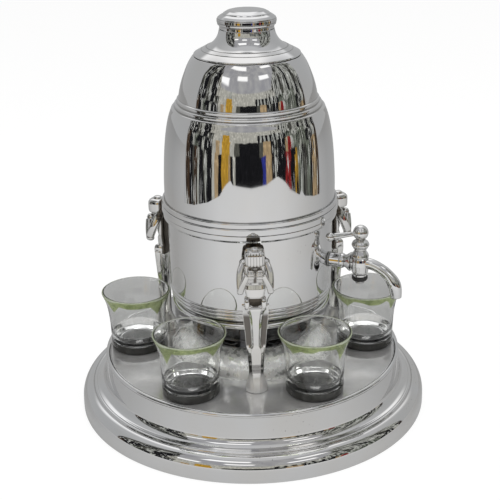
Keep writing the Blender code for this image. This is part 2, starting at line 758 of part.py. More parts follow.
def catmull(values, share):
    """Return the value of a smooth curve between the middle two of four values."""
    before, start, end, after = values
    return 0.5 * (2.0 * start + (end - before) * share
                  + (2.0 * before - 5.0 * start + 4.0 * end - after) * share ** 2
                  + (3.0 * start - before - 3.0 * end + after) * share ** 3)


def make_tap_body(chrome):
    """The valve body with its collar, cone and curved spout, bored for the key and the water."""
    bore = tap_key_radius + seat_gap
    outline = [(bore, -tap_body_bottom)]
    outline += [(across * tap_body_radius, -down * tap_body_bottom) for across, down in tap_body_lower_shares]
    outline += [(tap_body_radius, 0.0)]
    outline += [(across * tap_body_radius, up * tap_body_top) for across, up in tap_body_upper_shares]
    body = at_tap(turned("tap_body", outline + [(bore, tap_body_top)], ring_sides, chrome))
    rear, collar, waist, cone, front = [-share * tap_pipe_outer_reach for share in tap_collar_place_shares]
    collar_outline = [(0.0, rear), (tap_pipe_radius, rear), (tap_collar_radius, (rear + collar) / 2.0),
                      (tap_pipe_radius, collar), (tap_waist_radius, waist), (tap_cone_radius, cone),
                      (tap_neck_radius, cone), (tap_neck_radius, front), (0.0, front)]
    combine(body, at_tap(turned_along_x("tap_collar", collar_outline, small_sides, None)), "UNION")
    path, radii = spout_line()
    combine(body, at_tap(tapered_tube("tap_spout", path, radii, spout_sides)), "UNION")
    key_bore = upright_rod("key_bore", bore, -tap_body_bottom - cut_overrun, tap_body_top + cut_overrun,
                           ring_sides)
    combine(body, at_tap(key_bore), "DIFFERENCE")
    inlet = ring_outline(0.0, tap_bore_radius, rear - cut_overrun, 0.0)
    combine(body, at_tap(turned_along_x("water_in", inlet, small_sides, None)), "DIFFERENCE")
    end = Vector(path[-1]) + (Vector(path[-1]) - Vector(path[-2]))
    water_path = [(0.0, 0.0, 0.0)] + path[1:] + [tuple(end)]
    water_out = tapered_tube("water_out", water_path, [tap_bore_radius] * len(water_path), spout_sides)
    combine(body, at_tap(water_out), "DIFFERENCE")


def make_tap_key(chrome, black, steel):
    """The key with its turned finial, the lever in its ball, and the washer and screw below."""
    tail = -tap_body_bottom
    screw_hole = tap_screw_radius + seat_gap
    depth = tail + tap_screw_reach + tap_screw_radius
    outline = [(screw_hole, tail), (tap_key_radius, tail), (tap_key_radius, tap_body_top + seat_gap)]
    outline += [(across * tap_bell_radius, up * tap_ball_height) for across, up in tap_bell_shares]
    outline += [(across * tap_bulb_radius, up * tap_ball_height) for across, up in tap_bulb_shares]
    first_angle = -60
    last_angle = 60
    for angle in range(first_angle, last_angle + 1, 20):
        outline.append((tap_ball_radius * math.cos(math.radians(angle)),
                        tap_ball_height + tap_ball_radius * math.sin(math.radians(angle))))
    outline += [(0.0, tap_ball_height + tap_ball_radius), (0.0, depth), (screw_hole, depth)]
    key = at_tap(turned("tap_key", outline, small_sides, chrome))
    reach = tap_key_radius + cut_overrun
    drill = ring_outline(0.0, tap_bore_radius, -reach, reach)
    way = at_tap(turned_along_x("key_way", drill, small_sides, None))
    way.rotation_euler.z += math.pi / 2.0
    combine(key, way, "DIFFERENCE")
    socket_floor = tap_ball_radius - tap_lever_socket_depth
    lever_start = socket_floor + seat_gap
    socket = ring_outline(0.0, tap_lever_root_radius + seat_gap, socket_floor, tap_ball_radius + cut_overrun)
    combine(key, lever_shape("lever_socket", socket, None), "DIFFERENCE")
    knob = tap_lever_knob_radius
    neck = knob - math.sqrt(knob ** 2 - tap_lever_tip_radius ** 2)
    rod = [(0.0, lever_start), (tap_lever_root_radius, lever_start), (tap_lever_root_radius, tap_ball_radius),
           (tap_lever_tip_radius, tap_lever_length - knob + neck),
           (knob, tap_lever_length), (knob * math.sqrt(0.5), tap_lever_length + knob * math.sqrt(0.5)),
           (0.0, tap_lever_length + knob)]
    lever_shape("tap_lever", rod, chrome)
    washer_top = tail - seat_gap
    washer_bottom = washer_top - tap_washer_height
    at_tap(turned("tap_washer", ring_outline(screw_hole, tap_washer_radius, washer_bottom, washer_top),
                  small_sides, black))
    screw_seat = washer_bottom - seat_gap
    screw = at_tap(turned("tap_screw", headed_screw(tap_screw_radius, tail + tap_screw_reach - screw_seat,
                                                    tap_screw_head_radius, tap_screw_head_height),
                          small_sides, steel))
    screw.location.z = tap_height + screw_seat


def lever_shape(name, outline, material):
    """Make a shape turned about the lever's line, and place it through the finial's ball."""
    item = at_tap(turned_along_x(name, outline, small_sides, material))
    item.rotation_euler.z += math.pi + math.radians(tap_lever_turn)
    item.location.z = tap_height + tap_ball_height
    return item


def make_glasses(clear, black):
    """Six flared glasses, each on its black foot, standing loose on the floor."""
    foot_bottom = floor_height + seat_gap
    bevel = glass_foot_bevel_share * glass_foot_height
    foot_outline = [(0.0, 0.0), (glass_foot_radius - bevel, 0.0), (glass_foot_radius, bevel),
                    (glass_foot_radius, glass_foot_height), (0.0, glass_foot_height)]
    cup_bottom = glass_foot_height + seat_gap
    cup_height = glass_height - cup_bottom
    cup_outline = [(0.0, 0.0)]
    cup_outline += [(across * glass_rim_radius, up * cup_height) for across, up in glass_outer_shares]
    cup_outline += [(across * glass_rim_radius, up * cup_height) for across, up in glass_inner_shares]
    cup_outline += [(glass_well_share * glass_rim_radius, glass_bottom_thickness),
                    (0.0, glass_bottom_thickness)]
    foot_shape = turned_mesh_data("glass_foot", foot_outline, glass_sides, black)
    cup_shape = turned_mesh_data("glass_cup", cup_outline, glass_sides, clear)
    for number in range(1, glass_count + 1):
        azimuth = glass_first_azimuth + (number - 1) * 360.0 / glass_count
        copy_at(f"glass_foot_{number}", foot_shape, azimuth, glass_ring_radius, foot_bottom)
        copy_at(f"glass_{number}", cup_shape, azimuth, glass_ring_radius, foot_bottom + cup_bottom)


def main():
    """Build the whole decanter."""
    clear_scene()
    chrome = make_material("chrome", (0.80, 0.80, 0.79), 1.0, 0.06)
    steel = make_material("steel", (0.55, 0.55, 0.56), 1.0, 0.30)
    brass = make_material("brass", (0.70, 0.54, 0.25), 1.0, 0.30)
    rubber = make_material("rubber", (0.03, 0.03, 0.03), 0.0, 0.70)
    black = make_material("black_gloss", (0.02, 0.02, 0.02), 0.0, 0.15)
    clear = make_material("clear_glass", (0.86, 0.90, 0.80), 0.0, 0.02, alpha=0.35)
    make_base(chrome)
    make_neck(chrome)
    make_foot_ring(chrome)
    make_centre_stud(steel, brass)
    make_lower_tank(chrome)
    make_band(chrome)
    make_upper_tank(chrome)
    make_lid(chrome)
    make_knob(chrome, steel)
    make_figures(chrome, steel)
    make_shank(chrome, rubber, brass)
    make_tap_body(chrome)
    make_tap_key(chrome, black, steel)
    make_glasses(clear, black)


main()
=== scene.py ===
"""Dresses the samovar decanter: spun chrome, cast figures, a tap and six glasses, in a plain pale studio.

Every shape is worked out in millimetres as whole numpy arrays and written to its mesh in metres, in the
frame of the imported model. Azimuths are counted in degrees from the front (-Y) towards the tap side (+X).
"""
import logging
import math
from dataclasses import dataclass, field
from enum import Enum
from typing import Any, Sequence

import bpy
import numpy as np
from mathutils import Matrix


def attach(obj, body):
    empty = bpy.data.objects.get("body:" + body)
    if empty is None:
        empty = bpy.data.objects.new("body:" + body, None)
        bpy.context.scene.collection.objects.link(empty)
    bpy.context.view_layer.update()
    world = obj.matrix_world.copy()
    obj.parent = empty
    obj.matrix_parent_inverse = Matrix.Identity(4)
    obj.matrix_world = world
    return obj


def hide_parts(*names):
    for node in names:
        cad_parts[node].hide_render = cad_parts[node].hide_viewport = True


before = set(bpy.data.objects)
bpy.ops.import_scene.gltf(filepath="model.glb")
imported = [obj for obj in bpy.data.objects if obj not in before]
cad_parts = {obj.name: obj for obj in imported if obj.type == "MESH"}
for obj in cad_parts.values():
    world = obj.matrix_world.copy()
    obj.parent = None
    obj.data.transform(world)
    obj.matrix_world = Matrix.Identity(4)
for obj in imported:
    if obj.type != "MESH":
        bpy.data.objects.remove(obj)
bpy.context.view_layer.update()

MM = 0.001

log = logging.getLogger("decanter")

Corner = tuple[float, float, float]
Colour = tuple[float, float, float]
Knots = tuple[tuple[float, float], ...]


class Slot(Enum):
    """The record's material slots."""

    CHROME = "chrome"
    STEEL = "steel"
    BRASS = "brass"
    RUBBER = "rubber"
    BLACK = "black"
    CLEAR = "clear"


class Body(Enum):
    """The bodies that a fixed or a moving piece rides on."""

    STAND = "stand"
    LID = "lid"
    TAP_KEY = "tap_key"


# Profiles and surfaces


def rounded_line(corners: Sequence[Corner], steps: int = 6) -> np.ndarray:
    """Rounds each corner of an open line with an arc that is tangent to both of its sides.

    The arc of a corner starts and ends at radius * tan(half the turn) from it, and its points go round the
    centre on the corner's bisector. A support point on each side keeps the flats flat in smooth shading.

    Args:
        corners: Rows of radius, height and fillet in millimetres.
        steps: How many pieces each arc has.

    Returns:
        An array of (radius, height) in millimetres.
    """
    table = np.asarray(corners, float)
    points = table[:, :2]
    pieces = [points[:1]]
    for before, corner, after, fillet in zip(points, points[1:], points[2:], table[1:, 2]):
        back = (before - corner) / np.linalg.norm(before - corner)
        ahead = (after - corner) / np.linalg.norm(after - corner)
        half = math.acos(float(np.clip(back @ ahead, -1.0, 1.0))) / 2.0
        room = 0.46 * min(np.linalg.norm(before - corner), np.linalg.norm(after - corner))
        reach = min(fillet / max(math.tan(half), 1e-6), room)
        radius = reach * math.tan(half)
        if radius < 1e-4 or half > 1.55:
            pieces.append(corner[None])
            continue
        bisector = (back + ahead) / np.linalg.norm(back + ahead)
        centre = corner + bisector * radius / math.sin(half)
        first = corner + back * reach
        last = corner + ahead * reach
        start = math.atan2(*(first - centre)[::-1])
        turn = math.remainder(math.atan2(*(last - centre)[::-1]) - start, 2.0 * math.pi)
        angles = start + turn * np.linspace(0.0, 1.0, steps + 1)
        arc = centre + radius * np.stack([np.cos(angles), np.sin(angles)], axis=1)
        lead = min(0.08, 0.05 * reach + 0.02)
        pieces += [(first + back * lead)[None], arc, (last + ahead * lead)[None]]
    pieces.append(points[-1:])
    return np.concatenate(pieces)


def smooth_line(points: Sequence[tuple[float, float]], samples: int = 32) -> np.ndarray:
    """Carries a natural cubic spline through a few points.

    Each coordinate is a cubic of the chord length along the points. Its second derivatives come from the
    usual three-row equations and are zero at both ends.

    Args:
        points: Knots of (radius, height), or of (x, y, z), in millimetres.
        samples: How many points come back.

    Returns:
        An array with the knots' columns.
    """
    knots = np.asarray(points, float)
    lengths = np.concatenate([[0.0], np.cumsum(np.linalg.norm(np.diff(knots, axis=0), axis=1))])
    count = len(knots)
    gap = np.diff(lengths)
    matrix = np.eye(count)
    right = np.zeros_like(knots)
    inner = np.arange(1, count - 1)
    matrix[inner, inner - 1] = gap[:-1]
    matrix[inner, inner] = 2.0 * (gap[:-1] + gap[1:])
    matrix[inner, inner + 1] = gap[1:]
    slopes = np.diff(knots, axis=0) / gap[:, None]
    right[1:-1] = 6.0 * np.diff(slopes, axis=0)
    bends = np.linalg.solve(matrix, right)
    along = np.linspace(0.0, lengths[-1], samples)
    span = np.clip(np.searchsorted(lengths, along, side="right") - 1, 0, count - 2)
    width = gap[span][:, None]
    ahead = (lengths[span + 1] - along)[:, None]
    behind = (along - lengths[span])[:, None]
    first, second = knots[span], knots[span + 1]
    low, high = bends[span], bends[span + 1]
    cubic = (low * ahead ** 3 + high * behind ** 3) / (6.0 * width)
    linear = (first / width - low * width / 6.0) * ahead + (second / width - high * width / 6.0) * behind
    return cubic + linear


def bead(radius: float, height: float, size: float, start: float, end: float, steps: int = 14) -> np.ndarray:
    """Returns an arc of a half-round bead: centre plus size times (cos, sin) of an even run of angles.

    Args:
        radius: The arc's centre from the axis, in millimetres.
        height: The arc's centre above the table, in millimetres.
        size: The arc's own radius, in millimetres.
        start: First angle in degrees, 0 pointing outwards and 90 up.
        end: Last angle in degrees.
        steps: How many pieces the arc has.

    Returns:
        An array of (radius, height).
    """
    angles = np.radians(np.linspace(start, end, steps + 1))
    return np.stack([radius + size * np.cos(angles), height + size * np.sin(angles)], axis=1)


def joined(*lines: np.ndarray) -> np.ndarray:
    """Joins lines end to end and drops points that repeat the one before."""
    line = np.concatenate(lines)
    keep = np.ones(len(line), bool)
    keep[1:] = np.linalg.norm(np.diff(line, axis=0), axis=1) > 1e-4
    return line[keep]


def faded(values: np.ndarray, low: float, high: float) -> np.ndarray:
    """Returns how far values have come from low to high, held between 0 and 1."""
    return np.clip((values - low) / (high - low), 0.0, 1.0)


def squared(values: np.ndarray, power: float) -> np.ndarray:
    """Returns sines or cosines as a superellipse has them: their sign times their size to 2/power."""
    return np.sign(values) * np.abs(values) ** (2.0 / power)


def quadratic(share: np.ndarray, start: np.ndarray, middle: np.ndarray, end: np.ndarray) -> np.ndarray:
    """Returns places along a quadratic with three control values."""
    return (1 - share) ** 2 * start + 2 * share * (1 - share) * middle + share ** 2 * end


def circle(sides: int) -> np.ndarray:
    """Returns even angles once round, in radians."""
    return np.arange(sides) * 2.0 * math.pi / sides


def hollow_depth(line: np.ndarray, closed: bool) -> np.ndarray:
    """Says how deep in a groove each point of a profile lies, from 0 to 1.

    The signed turn of the line at a point is the cross product of its two unit sides. Turns to the right
    are hollows on an outline that runs anticlockwise, and their sum over the nearest 0.8 mm is taken.

    Args:
        line: Points of (radius, height) in millimetres.
        closed: Whether the last point joins the first.

    Returns:
        One value per point.
    """
    sides = np.diff(np.vstack([line, line[:1]]), axis=0)
    sides /= np.maximum(np.linalg.norm(sides, axis=1, keepdims=True), 1e-9)
    last = np.roll(sides, 1, axis=0)
    turn = last[:, 0] * sides[:, 1] - last[:, 1] * sides[:, 0]
    if not closed:
        turn[[0, -1]] = 0.0
    hollow = np.clip(-turn, 0.0, 1.0)
    distance = np.linalg.norm(line[:, None] - line[None], axis=2)
    return np.clip((np.exp(-(distance / 0.45) ** 2) * hollow[None]).sum(axis=1) * 0.9, 0.0, 1.0)


@dataclass
class Surface:
    """Points and faces of one closed shell, in millimetres, with a groove value at each point."""

    points: np.ndarray
    faces: list[tuple[int, ...]]
    groove: np.ndarray

    def moved(self, azimuth: float, radius: float = 0.0, height: float = 0.0) -> "Surface":
        """Turns local +X outwards at an azimuth, and moves the shell out and up.

        Args:
            azimuth: Degrees from the front towards the tap side.
            radius: Millimetres out from the decanter's axis.
            height: Millimetres up.

        Returns:
            The placed surface.
        """
        angle = math.radians(azimuth - 90.0)
        turn = np.array([[math.cos(angle), -math.sin(angle), 0.0], [math.sin(angle), math.cos(angle), 0.0],
                         [0.0, 0.0, 1.0]])
        shift = np.array([radius * math.cos(angle), radius * math.sin(angle), height])
        return Surface(self.points @ turn.T + shift, self.faces, self.groove)

    def mirrored(self) -> "Surface":
        """Returns the shell mirrored across its own XZ plane, with its faces turned back outwards."""
        return Surface(self.points * [1.0, -1.0, 1.0], [face[::-1] for face in self.faces], self.groove)


def merged(shells: Sequence[Surface]) -> Surface:
    """Puts several closed shells in one surface."""
    starts = np.cumsum([0] + [len(shell.points) for shell in shells])
    faces = [tuple(int(start) + corner for corner in face) for start, shell in zip(starts, shells)
             for face in shell.faces]
    return Surface(np.concatenate([shell.points for shell in shells]), faces,
                   np.concatenate([shell.groove for shell in shells]))


def grid_faces(rows: int, columns: int, closed_rows: bool) -> np.ndarray:
    """Returns the quads of a grid whose columns go right round.

    Args:
        rows: Rows of points.
        columns: Points in a row.
        closed_rows: Whether the last row joins the first.

    Returns:
        An array of four corners per quad, anticlockwise seen from outside.
    """
    row = np.arange(rows if closed_rows else rows - 1)[:, None]
    column = np.arange(columns)[None]
    after = (column + 1) % columns
    above = (row + 1) % rows
    return np.stack([row * columns + column, row * columns + after, above * columns + after,
                     above * columns + column], axis=-1).reshape(-1, 4)


def turned(line: np.ndarray, sides: int = 192, closed: bool = True) -> Surface:
    """Turns a profile about Z: x = r cos(angle), y = r sin(angle), z = height.

    An outline that starts and ends on the axis is open and closes at two poles. Any other joins its last
    point to its first.

    Args:
        line: Points of (radius, height) in millimetres, from the bottom outside round to the inside.
        sides: How many steps go round.
        closed: Whether the outline is a ring that misses the axis.

    Returns:
        The surface, with its faces outwards.
    """
    groove = hollow_depth(line, closed)
    angles = circle(sides)
    body = line if closed else line[1:-1]
    points = np.empty((len(body), sides, 3))
    points[..., 0] = body[:, :1] * np.cos(angles)
    points[..., 1] = body[:, :1] * np.sin(angles)
    points[..., 2] = body[:, 1:]
    depth = np.repeat(groove if closed else groove[1:-1], sides)
    faces = [tuple(face) for face in grid_faces(len(body), sides, closed).tolist()]
    flat = points.reshape(-1, 3)
    if not closed:
        low, high = len(flat), len(flat) + 1
        top = (len(body) - 1) * sides
        flat = np.vstack([flat, [0.0, 0.0, line[0, 1]], [0.0, 0.0, line[-1, 1]]])
        depth = np.concatenate([depth, [0.0, 0.0]])
        faces += [((step + 1) % sides, step, low) for step in range(sides)]
        faces += [(top + step, top + (step + 1) % sides, high) for step in range(sides)]
    return Surface(flat, faces, depth)


def along_x(surface: Surface) -> Surface:
    """Lays a surface that was turned about Z along +X, keeping its faces outwards."""
    return Surface(surface.points[:, [2, 0, 1]], surface.faces, surface.groove)


def swept(path: np.ndarray, wide: np.ndarray, high: np.ndarray, power: float, sides: int = 40) -> Surface:
    """Carries a closed section along a path and closes both ends.

    At each point of the path the section is a superellipse of wide and high, so a power over 2 squares it.
    Its plane is square to the path, and its wide direction stays as near to local Y as it can.

    Args:
        path: Points of (x, y, z) in millimetres.
        wide: Half width at each point.
        high: Half height at each point.
        power: 2 for an ellipse, more for a squarer section.
        sides: How many steps go round.

    Returns:
        The surface.
    """
    run = np.gradient(path, axis=0)
    run /= np.linalg.norm(run, axis=1, keepdims=True)
    side = np.array([0.0, 1.0, 0.0]) - run * run[:, 1:2]
    side /= np.linalg.norm(side, axis=1, keepdims=True)
    up = np.cross(run, side)
    angles = circle(sides)
    across, rise = squared(np.cos(angles), power), squared(np.sin(angles), power)
    rings = path[:, None] + side[:, None] * (wide[:, None] * across)[..., None]
    return capped(rings + up[:, None] * (high[:, None] * rise)[..., None])


def capped(rings: np.ndarray) -> Surface:
    """Closes a stack of rings of points with a fan at each end.

    Args:
        rings: Rings, points round each, and x, y, z. Seen along the stack the points go anticlockwise.

    Returns:
        The surface.
    """
    rows, sides = rings.shape[:2]
    flat = np.vstack([rings.reshape(-1, 3), rings[0].mean(axis=0), rings[-1].mean(axis=0)])
    faces = [tuple(face) for face in grid_faces(rows, sides, False).tolist()]
    low, high, top = rows * sides, rows * sides + 1, (rows - 1) * sides
    faces += [((step + 1) % sides, step, low) for step in range(sides)]
    faces += [(top + step, top + (step + 1) % sides, high) for step in range(sides)]
    return Surface(flat, faces, np.zeros(len(flat)))


def add_piece(name: str, surface: Surface, finish: "Finish", body: str, *nodes: str) -> None:
    """Writes a surface to a mesh, dresses it and fixes it to its body.

    Args:
        name: The piece's name.
        surface: Its shells, in millimetres.
        finish: What it is made of.
        body: The body that it rides on.
        nodes: The CAD nodes that it stands for.
    """
    corners = np.concatenate([np.asarray(face, np.int32) for face in surface.faces])
    totals = np.array([len(face) for face in surface.faces], np.int32)
    starts = np.concatenate([[0], np.cumsum(totals)[:-1]]).astype(np.int32)
    mesh = bpy.data.meshes.new(name)
    mesh.vertices.add(len(surface.points))
    mesh.vertices.foreach_set("co", (surface.points * MM).astype(np.float32).ravel())
    mesh.loops.add(len(corners))
    mesh.loops.foreach_set("vertex_index", corners)
    mesh.polygons.add(len(totals))
    mesh.polygons.foreach_set("loop_start", starts)
    mesh.polygons.foreach_set("use_smooth", np.ones(len(totals), bool))
    mesh.update(calc_edges=True)
    mesh.validate()
    depth = mesh.attributes.new("groove", "FLOAT", "POINT")
    depth.data.foreach_set("value", surface.groove.astype(np.float32))
    mesh.materials.append(finish.material())
    piece = bpy.data.objects.new(name, mesh)
    bpy.context.scene.collection.objects.link(piece)
    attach(piece, body)
    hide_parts(*nodes)
    log.info("%s: %d faces on %s", name, len(totals), body)


# Finishes


class Fine(float, Enum):
    """How fine the noises and cells of the finishes are, per metre."""

    CLOUDS = 24.0
    SCOURS = 38.0
    RIPPLE = 55.0
    TEETH = 62.0
    SWIRL = 70.0
    BLOOM = 90.0
    THREADS = 230.0
    MOTTLE = 260.0
    PITS = 340.0


class Signal:
    """A value, vector or colour that comes out of a node, and that can be calculated with."""

    def __init__(self, graph: "Graph", socket: bpy.types.NodeSocket) -> None:
        """Keeps the socket, and the graph that its Math nodes go into."""
        self.graph = graph
        self.socket = socket

    def maths(self, operation: str, *others: Any) -> "Signal":
        """Returns the result of one Math node on this value and others."""
        return self.graph.out("ShaderNodeMath", 0, dict(enumerate((self, *others))), operation=operation)

    def __add__(self, other: Any) -> "Signal":
        """Adds."""
        return self.maths("ADD", other)

    def __sub__(self, other: Any) -> "Signal":
        """Takes another value from this one."""
        return self.maths("SUBTRACT", other)

    def __rsub__(self, other: float) -> "Signal":
        """Takes this value from a number."""
        return self.graph.out("ShaderNodeMath", 0, {0: other, 1: self}, operation="SUBTRACT")

    def __mul__(self, other: Any) -> "Signal":
        """Multiplies."""
        return self.maths("MULTIPLY", other)

    def __abs__(self) -> "Signal":
        """Drops the sign."""
        return self.maths("ABSOLUTE")

    def step(self, low: float, high: float) -> "Signal":
        """Returns a smooth rise from 0 at low to 1 at high."""
        inputs = {"Value": self, "From Min": low, "From Max": high}
        return self.graph.out("ShaderNodeMapRange", "Result", inputs, interpolation_type="SMOOTHSTEP")


class Graph:
    """A node tree being filled in, with short ways to add and join its nodes."""

    def __init__(self, tree: bpy.types.NodeTree) -> None:
        """Empties the tree."""
        self.tree = tree
        tree.nodes.clear()

    def node(self, kind: str, inputs: dict[Any, Any] | None = None, **settings: Any) -> bpy.types.Node:
        """Adds a node.

        Args:
            kind: Blender's name of the node.
            inputs: What to feed in, by the name or number of the input.
            settings: Properties of the node.

        Returns:
            The node.
        """
        node = self.tree.nodes.new(kind)
        for key, value in settings.items():
            setattr(node, key, value)
        self.feed(node, inputs or {})
        return node

    def feed(self, node: bpy.types.Node, inputs: dict[Any, Any]) -> None:
        """Feeds a node's inputs.

        Args:
            node: The node.
            inputs: Signals, shader nodes or plain values by the name or number of the input. A colour comes
                without its alpha.
        """
        for key, value in inputs.items():
            socket = node.inputs[key]
            if isinstance(value, Signal):
                self.tree.links.new(value.socket, socket)
            elif isinstance(value, bpy.types.Node):
                self.tree.links.new(value.outputs[0], socket)
            else:
                socket.default_value = (*value, 1.0) if socket.type == "RGBA" else value

    def out(self, kind: str, output: int | str, inputs: dict[Any, Any] | None = None,
            **settings: Any) -> Signal:
        """Adds a node and returns one of its outputs."""
        return Signal(self, self.node(kind, inputs, **settings).outputs[output])

    def noise(self, place: Signal, scale: float, detail: float = 2.0) -> Signal:
        """Returns a noise from 0 to 1 about a place."""
        return self.out("ShaderNodeTexNoise", "Fac", {"Vector": place, "Scale": scale, "Detail": detail})

    def blend(self, share: Any, first: Any, second: Any) -> Signal:
        """Returns a colour between two, by a share of the second."""
        return self.out("ShaderNodeMix", 2, {0: share, 6: first, 7: second}, data_type="RGBA")

    def vector(self, *parts: Signal) -> Signal:
        """Returns the vector of up to three values."""
        return self.out("ShaderNodeCombineXYZ", 0, dict(enumerate(parts)))

    def split(self, vector: Signal) -> list[Signal]:
        """Returns the x, y and z of a vector."""
        return [Signal(self, socket) for socket in self.node("ShaderNodeSeparateXYZ", {0: vector}).outputs]

    def groove(self) -> Signal:
        """Returns the value that the mesh has at each point."""
        return self.out("ShaderNodeAttribute", "Fac", attribute_name="groove")

    def ray(self, kind: str) -> Signal:
        """Returns 1 for rays of a kind, such as Glossy, and 0 for others."""
        return self.out("ShaderNodeLightPath", f"Is {kind} Ray")

    def mirrored(self) -> Signal:
        """Returns 1 for what is seen in a mirror or through glass."""
        return self.ray("Glossy").maths("MAXIMUM", self.ray("Transmission"))

    def azimuth(self, x: Signal, y: Signal) -> Signal:
        """Returns the azimuth of a place or a direction in degrees, from the front towards the tap side."""
        return x.maths("ARCTAN2", y * -1.0).maths("DEGREES")

    def ramp(self, value: Signal, stops: Sequence[tuple[float, tuple[float, ...]]],
             stepped: bool = False) -> Signal:
        """Returns a colour looked up along a row of stops.

        Args:
            value: Where to look, from 0 to 1.
            stops: Places and colours.
            stepped: Whether each colour holds up to the next stop.

        Returns:
            The colour.
        """
        node = self.node("ShaderNodeValToRGB", {"Fac": value})
        row = node.color_ramp
        row.interpolation = "CONSTANT" if stepped else "LINEAR"
        while len(row.elements) < len(stops):
            row.elements.new(0.5)
        for element, (place, colour) in zip(row.elements, stops):
            element.position = place
            element.color = (*colour, 1.0)
        return Signal(self, node.outputs["Color"])

    def bump(self, shader: bpy.types.Node, height: Signal, distance: float, strength: float) -> None:
        """Bumps a shader's surface by a height whose whole range is a distance in metres."""
        inputs = {"Strength": strength, "Distance": distance, "Height": height}
        self.feed(shader, {"Normal": self.node("ShaderNodeBump", inputs)})


@dataclass(frozen=True)
class Finish:
    """What a piece is made of: a name, a record slot and a Principled material built once."""

    name: str
    slot: Slot

    def material(self) -> bpy.types.Material:
        """Returns the material, and builds it the first time."""
        found = bpy.data.materials.get(self.name)
        if found:
            return found
        material = bpy.data.materials.new(self.name)
        material.use_nodes = True
        graph = Graph(material.node_tree)
        shader = graph.node("ShaderNodeBsdfPrincipled")
        graph.node("ShaderNodeOutputMaterial", {"Surface": shader})
        self.fill(graph, shader, graph.out("ShaderNodeTexCoord", "Object"))
        return material

    def fill(self, graph: Graph, shader: bpy.types.Node, place: Signal) -> None:
        """Sets the shader's inputs; each finish has its own."""
        raise NotImplementedError


@dataclass(frozen=True)
class Chrome(Finish):
    """Old polished chrome plate: a mirror with a faint ripple, darker grooves and a few fine pits.

    Args:
        tint: Colour of the clean plate.
        pitting: Strength of the pits, which lie only in cloudy patches, from 0 to 1.
        film_and_shade: Strength of the darkening in the grooves, tarnish and painted shade, from 0 to 1.
        tarnish_and_shade: Colour of the darkening: tarnish in turned hollows, painted shade on the figures.
        ripple: Height of the ripple in metres.
        hazy_inside: Radius in metres within which the plate is scoured and hazy.
        worn_inside: Radius in metres within which it is mottled and paler as well.
        worn_tint: Colour of the plate there.
        dull_below: Height in metres under which the plate is thin and dull.
    """

    tint: Colour = (0.730, 0.732, 0.735)
    pitting: float = 0.35
    film_and_shade: float = 0.40
    tarnish_and_shade: Colour = (0.060, 0.052, 0.040)
    ripple: float = 0.000012
    hazy_inside: float = 0.0
    worn_inside: float = 0.0
    worn_tint: Colour = (0.93, 0.93, 0.91)
    dull_below: float = 0.0

    def fill(self, graph: Graph, shader: bpy.types.Node, place: Signal) -> None:
        """Mixes the clean plate with the dark colour where the groove value is high, and in patches of pits.

        Inside the hazy radius the plate is a little rough and less of a mirror, by a cloudy share. Inside the
        worn radius it is paler too, and mottled. Below the dull height it is rough and half a mirror.
        """
        cloud = graph.noise(place, Fine.CLOUDS.value, 3.0)
        spots = graph.out("ShaderNodeTexVoronoi", "Distance", {"Vector": place, "Scale": Fine.PITS.value})
        pit = cloud.step(0.58, 0.72) * self.pitting * spots.step(0.17, 0.09)
        # Darker where the groove value is high: tarnish in turned hollows, and painted shade where the
        # figures' groove values mark shade under the fringe and on the chest, lap and neck.
        stain_and_shade = pit.maths("MAXIMUM", graph.groove().step(0.25, 1.0) * self.film_and_shade)
        warm = (self.tint[0] * 0.985, self.tint[1] * 0.97, self.tint[2] * 0.945)
        plate = graph.blend(cloud.step(0.35, 0.75), self.tint, warm)
        rough = cloud.step(0.3, 0.8) * 0.025 + stain_and_shade * 0.22 + 0.03
        mirror: Any = 1.0
        if self.hazy_inside:
            x, y, _ = graph.split(place)
            radius = (x * x + y * y).maths("SQRT")
            hazy = radius.step(self.hazy_inside + 0.0008, self.hazy_inside)
            worn = radius.step(self.worn_inside + 0.002, self.worn_inside - 0.001)
            mottle = worn * graph.noise(place, Fine.MOTTLE.value, 3.0).step(0.34, 0.62)
            scour = graph.noise(place, Fine.SCOURS.value, 3.0).step(0.3, 0.7)
            rough = rough + hazy * 0.05 + worn * 0.06 + mottle * 0.24
            mirror = 1.0 - (hazy * (scour * 0.14 + 0.30) + mottle * 0.34)
            plate = graph.blend(worn, plate, self.worn_tint)
        if self.dull_below:
            dull = graph.split(place)[2].step(self.dull_below + 0.003, self.dull_below - 0.003)
            rough = rough + dull * 0.20
            mirror = 1.0 - dull * 0.5
        graph.feed(shader, {"Base Color": graph.blend(stain_and_shade, plate, self.tarnish_and_shade), "Metallic": mirror,
                            "Roughness": rough})
        graph.bump(shader, graph.noise(place, Fine.RIPPLE.value, 1.0), self.ripple, 0.25)


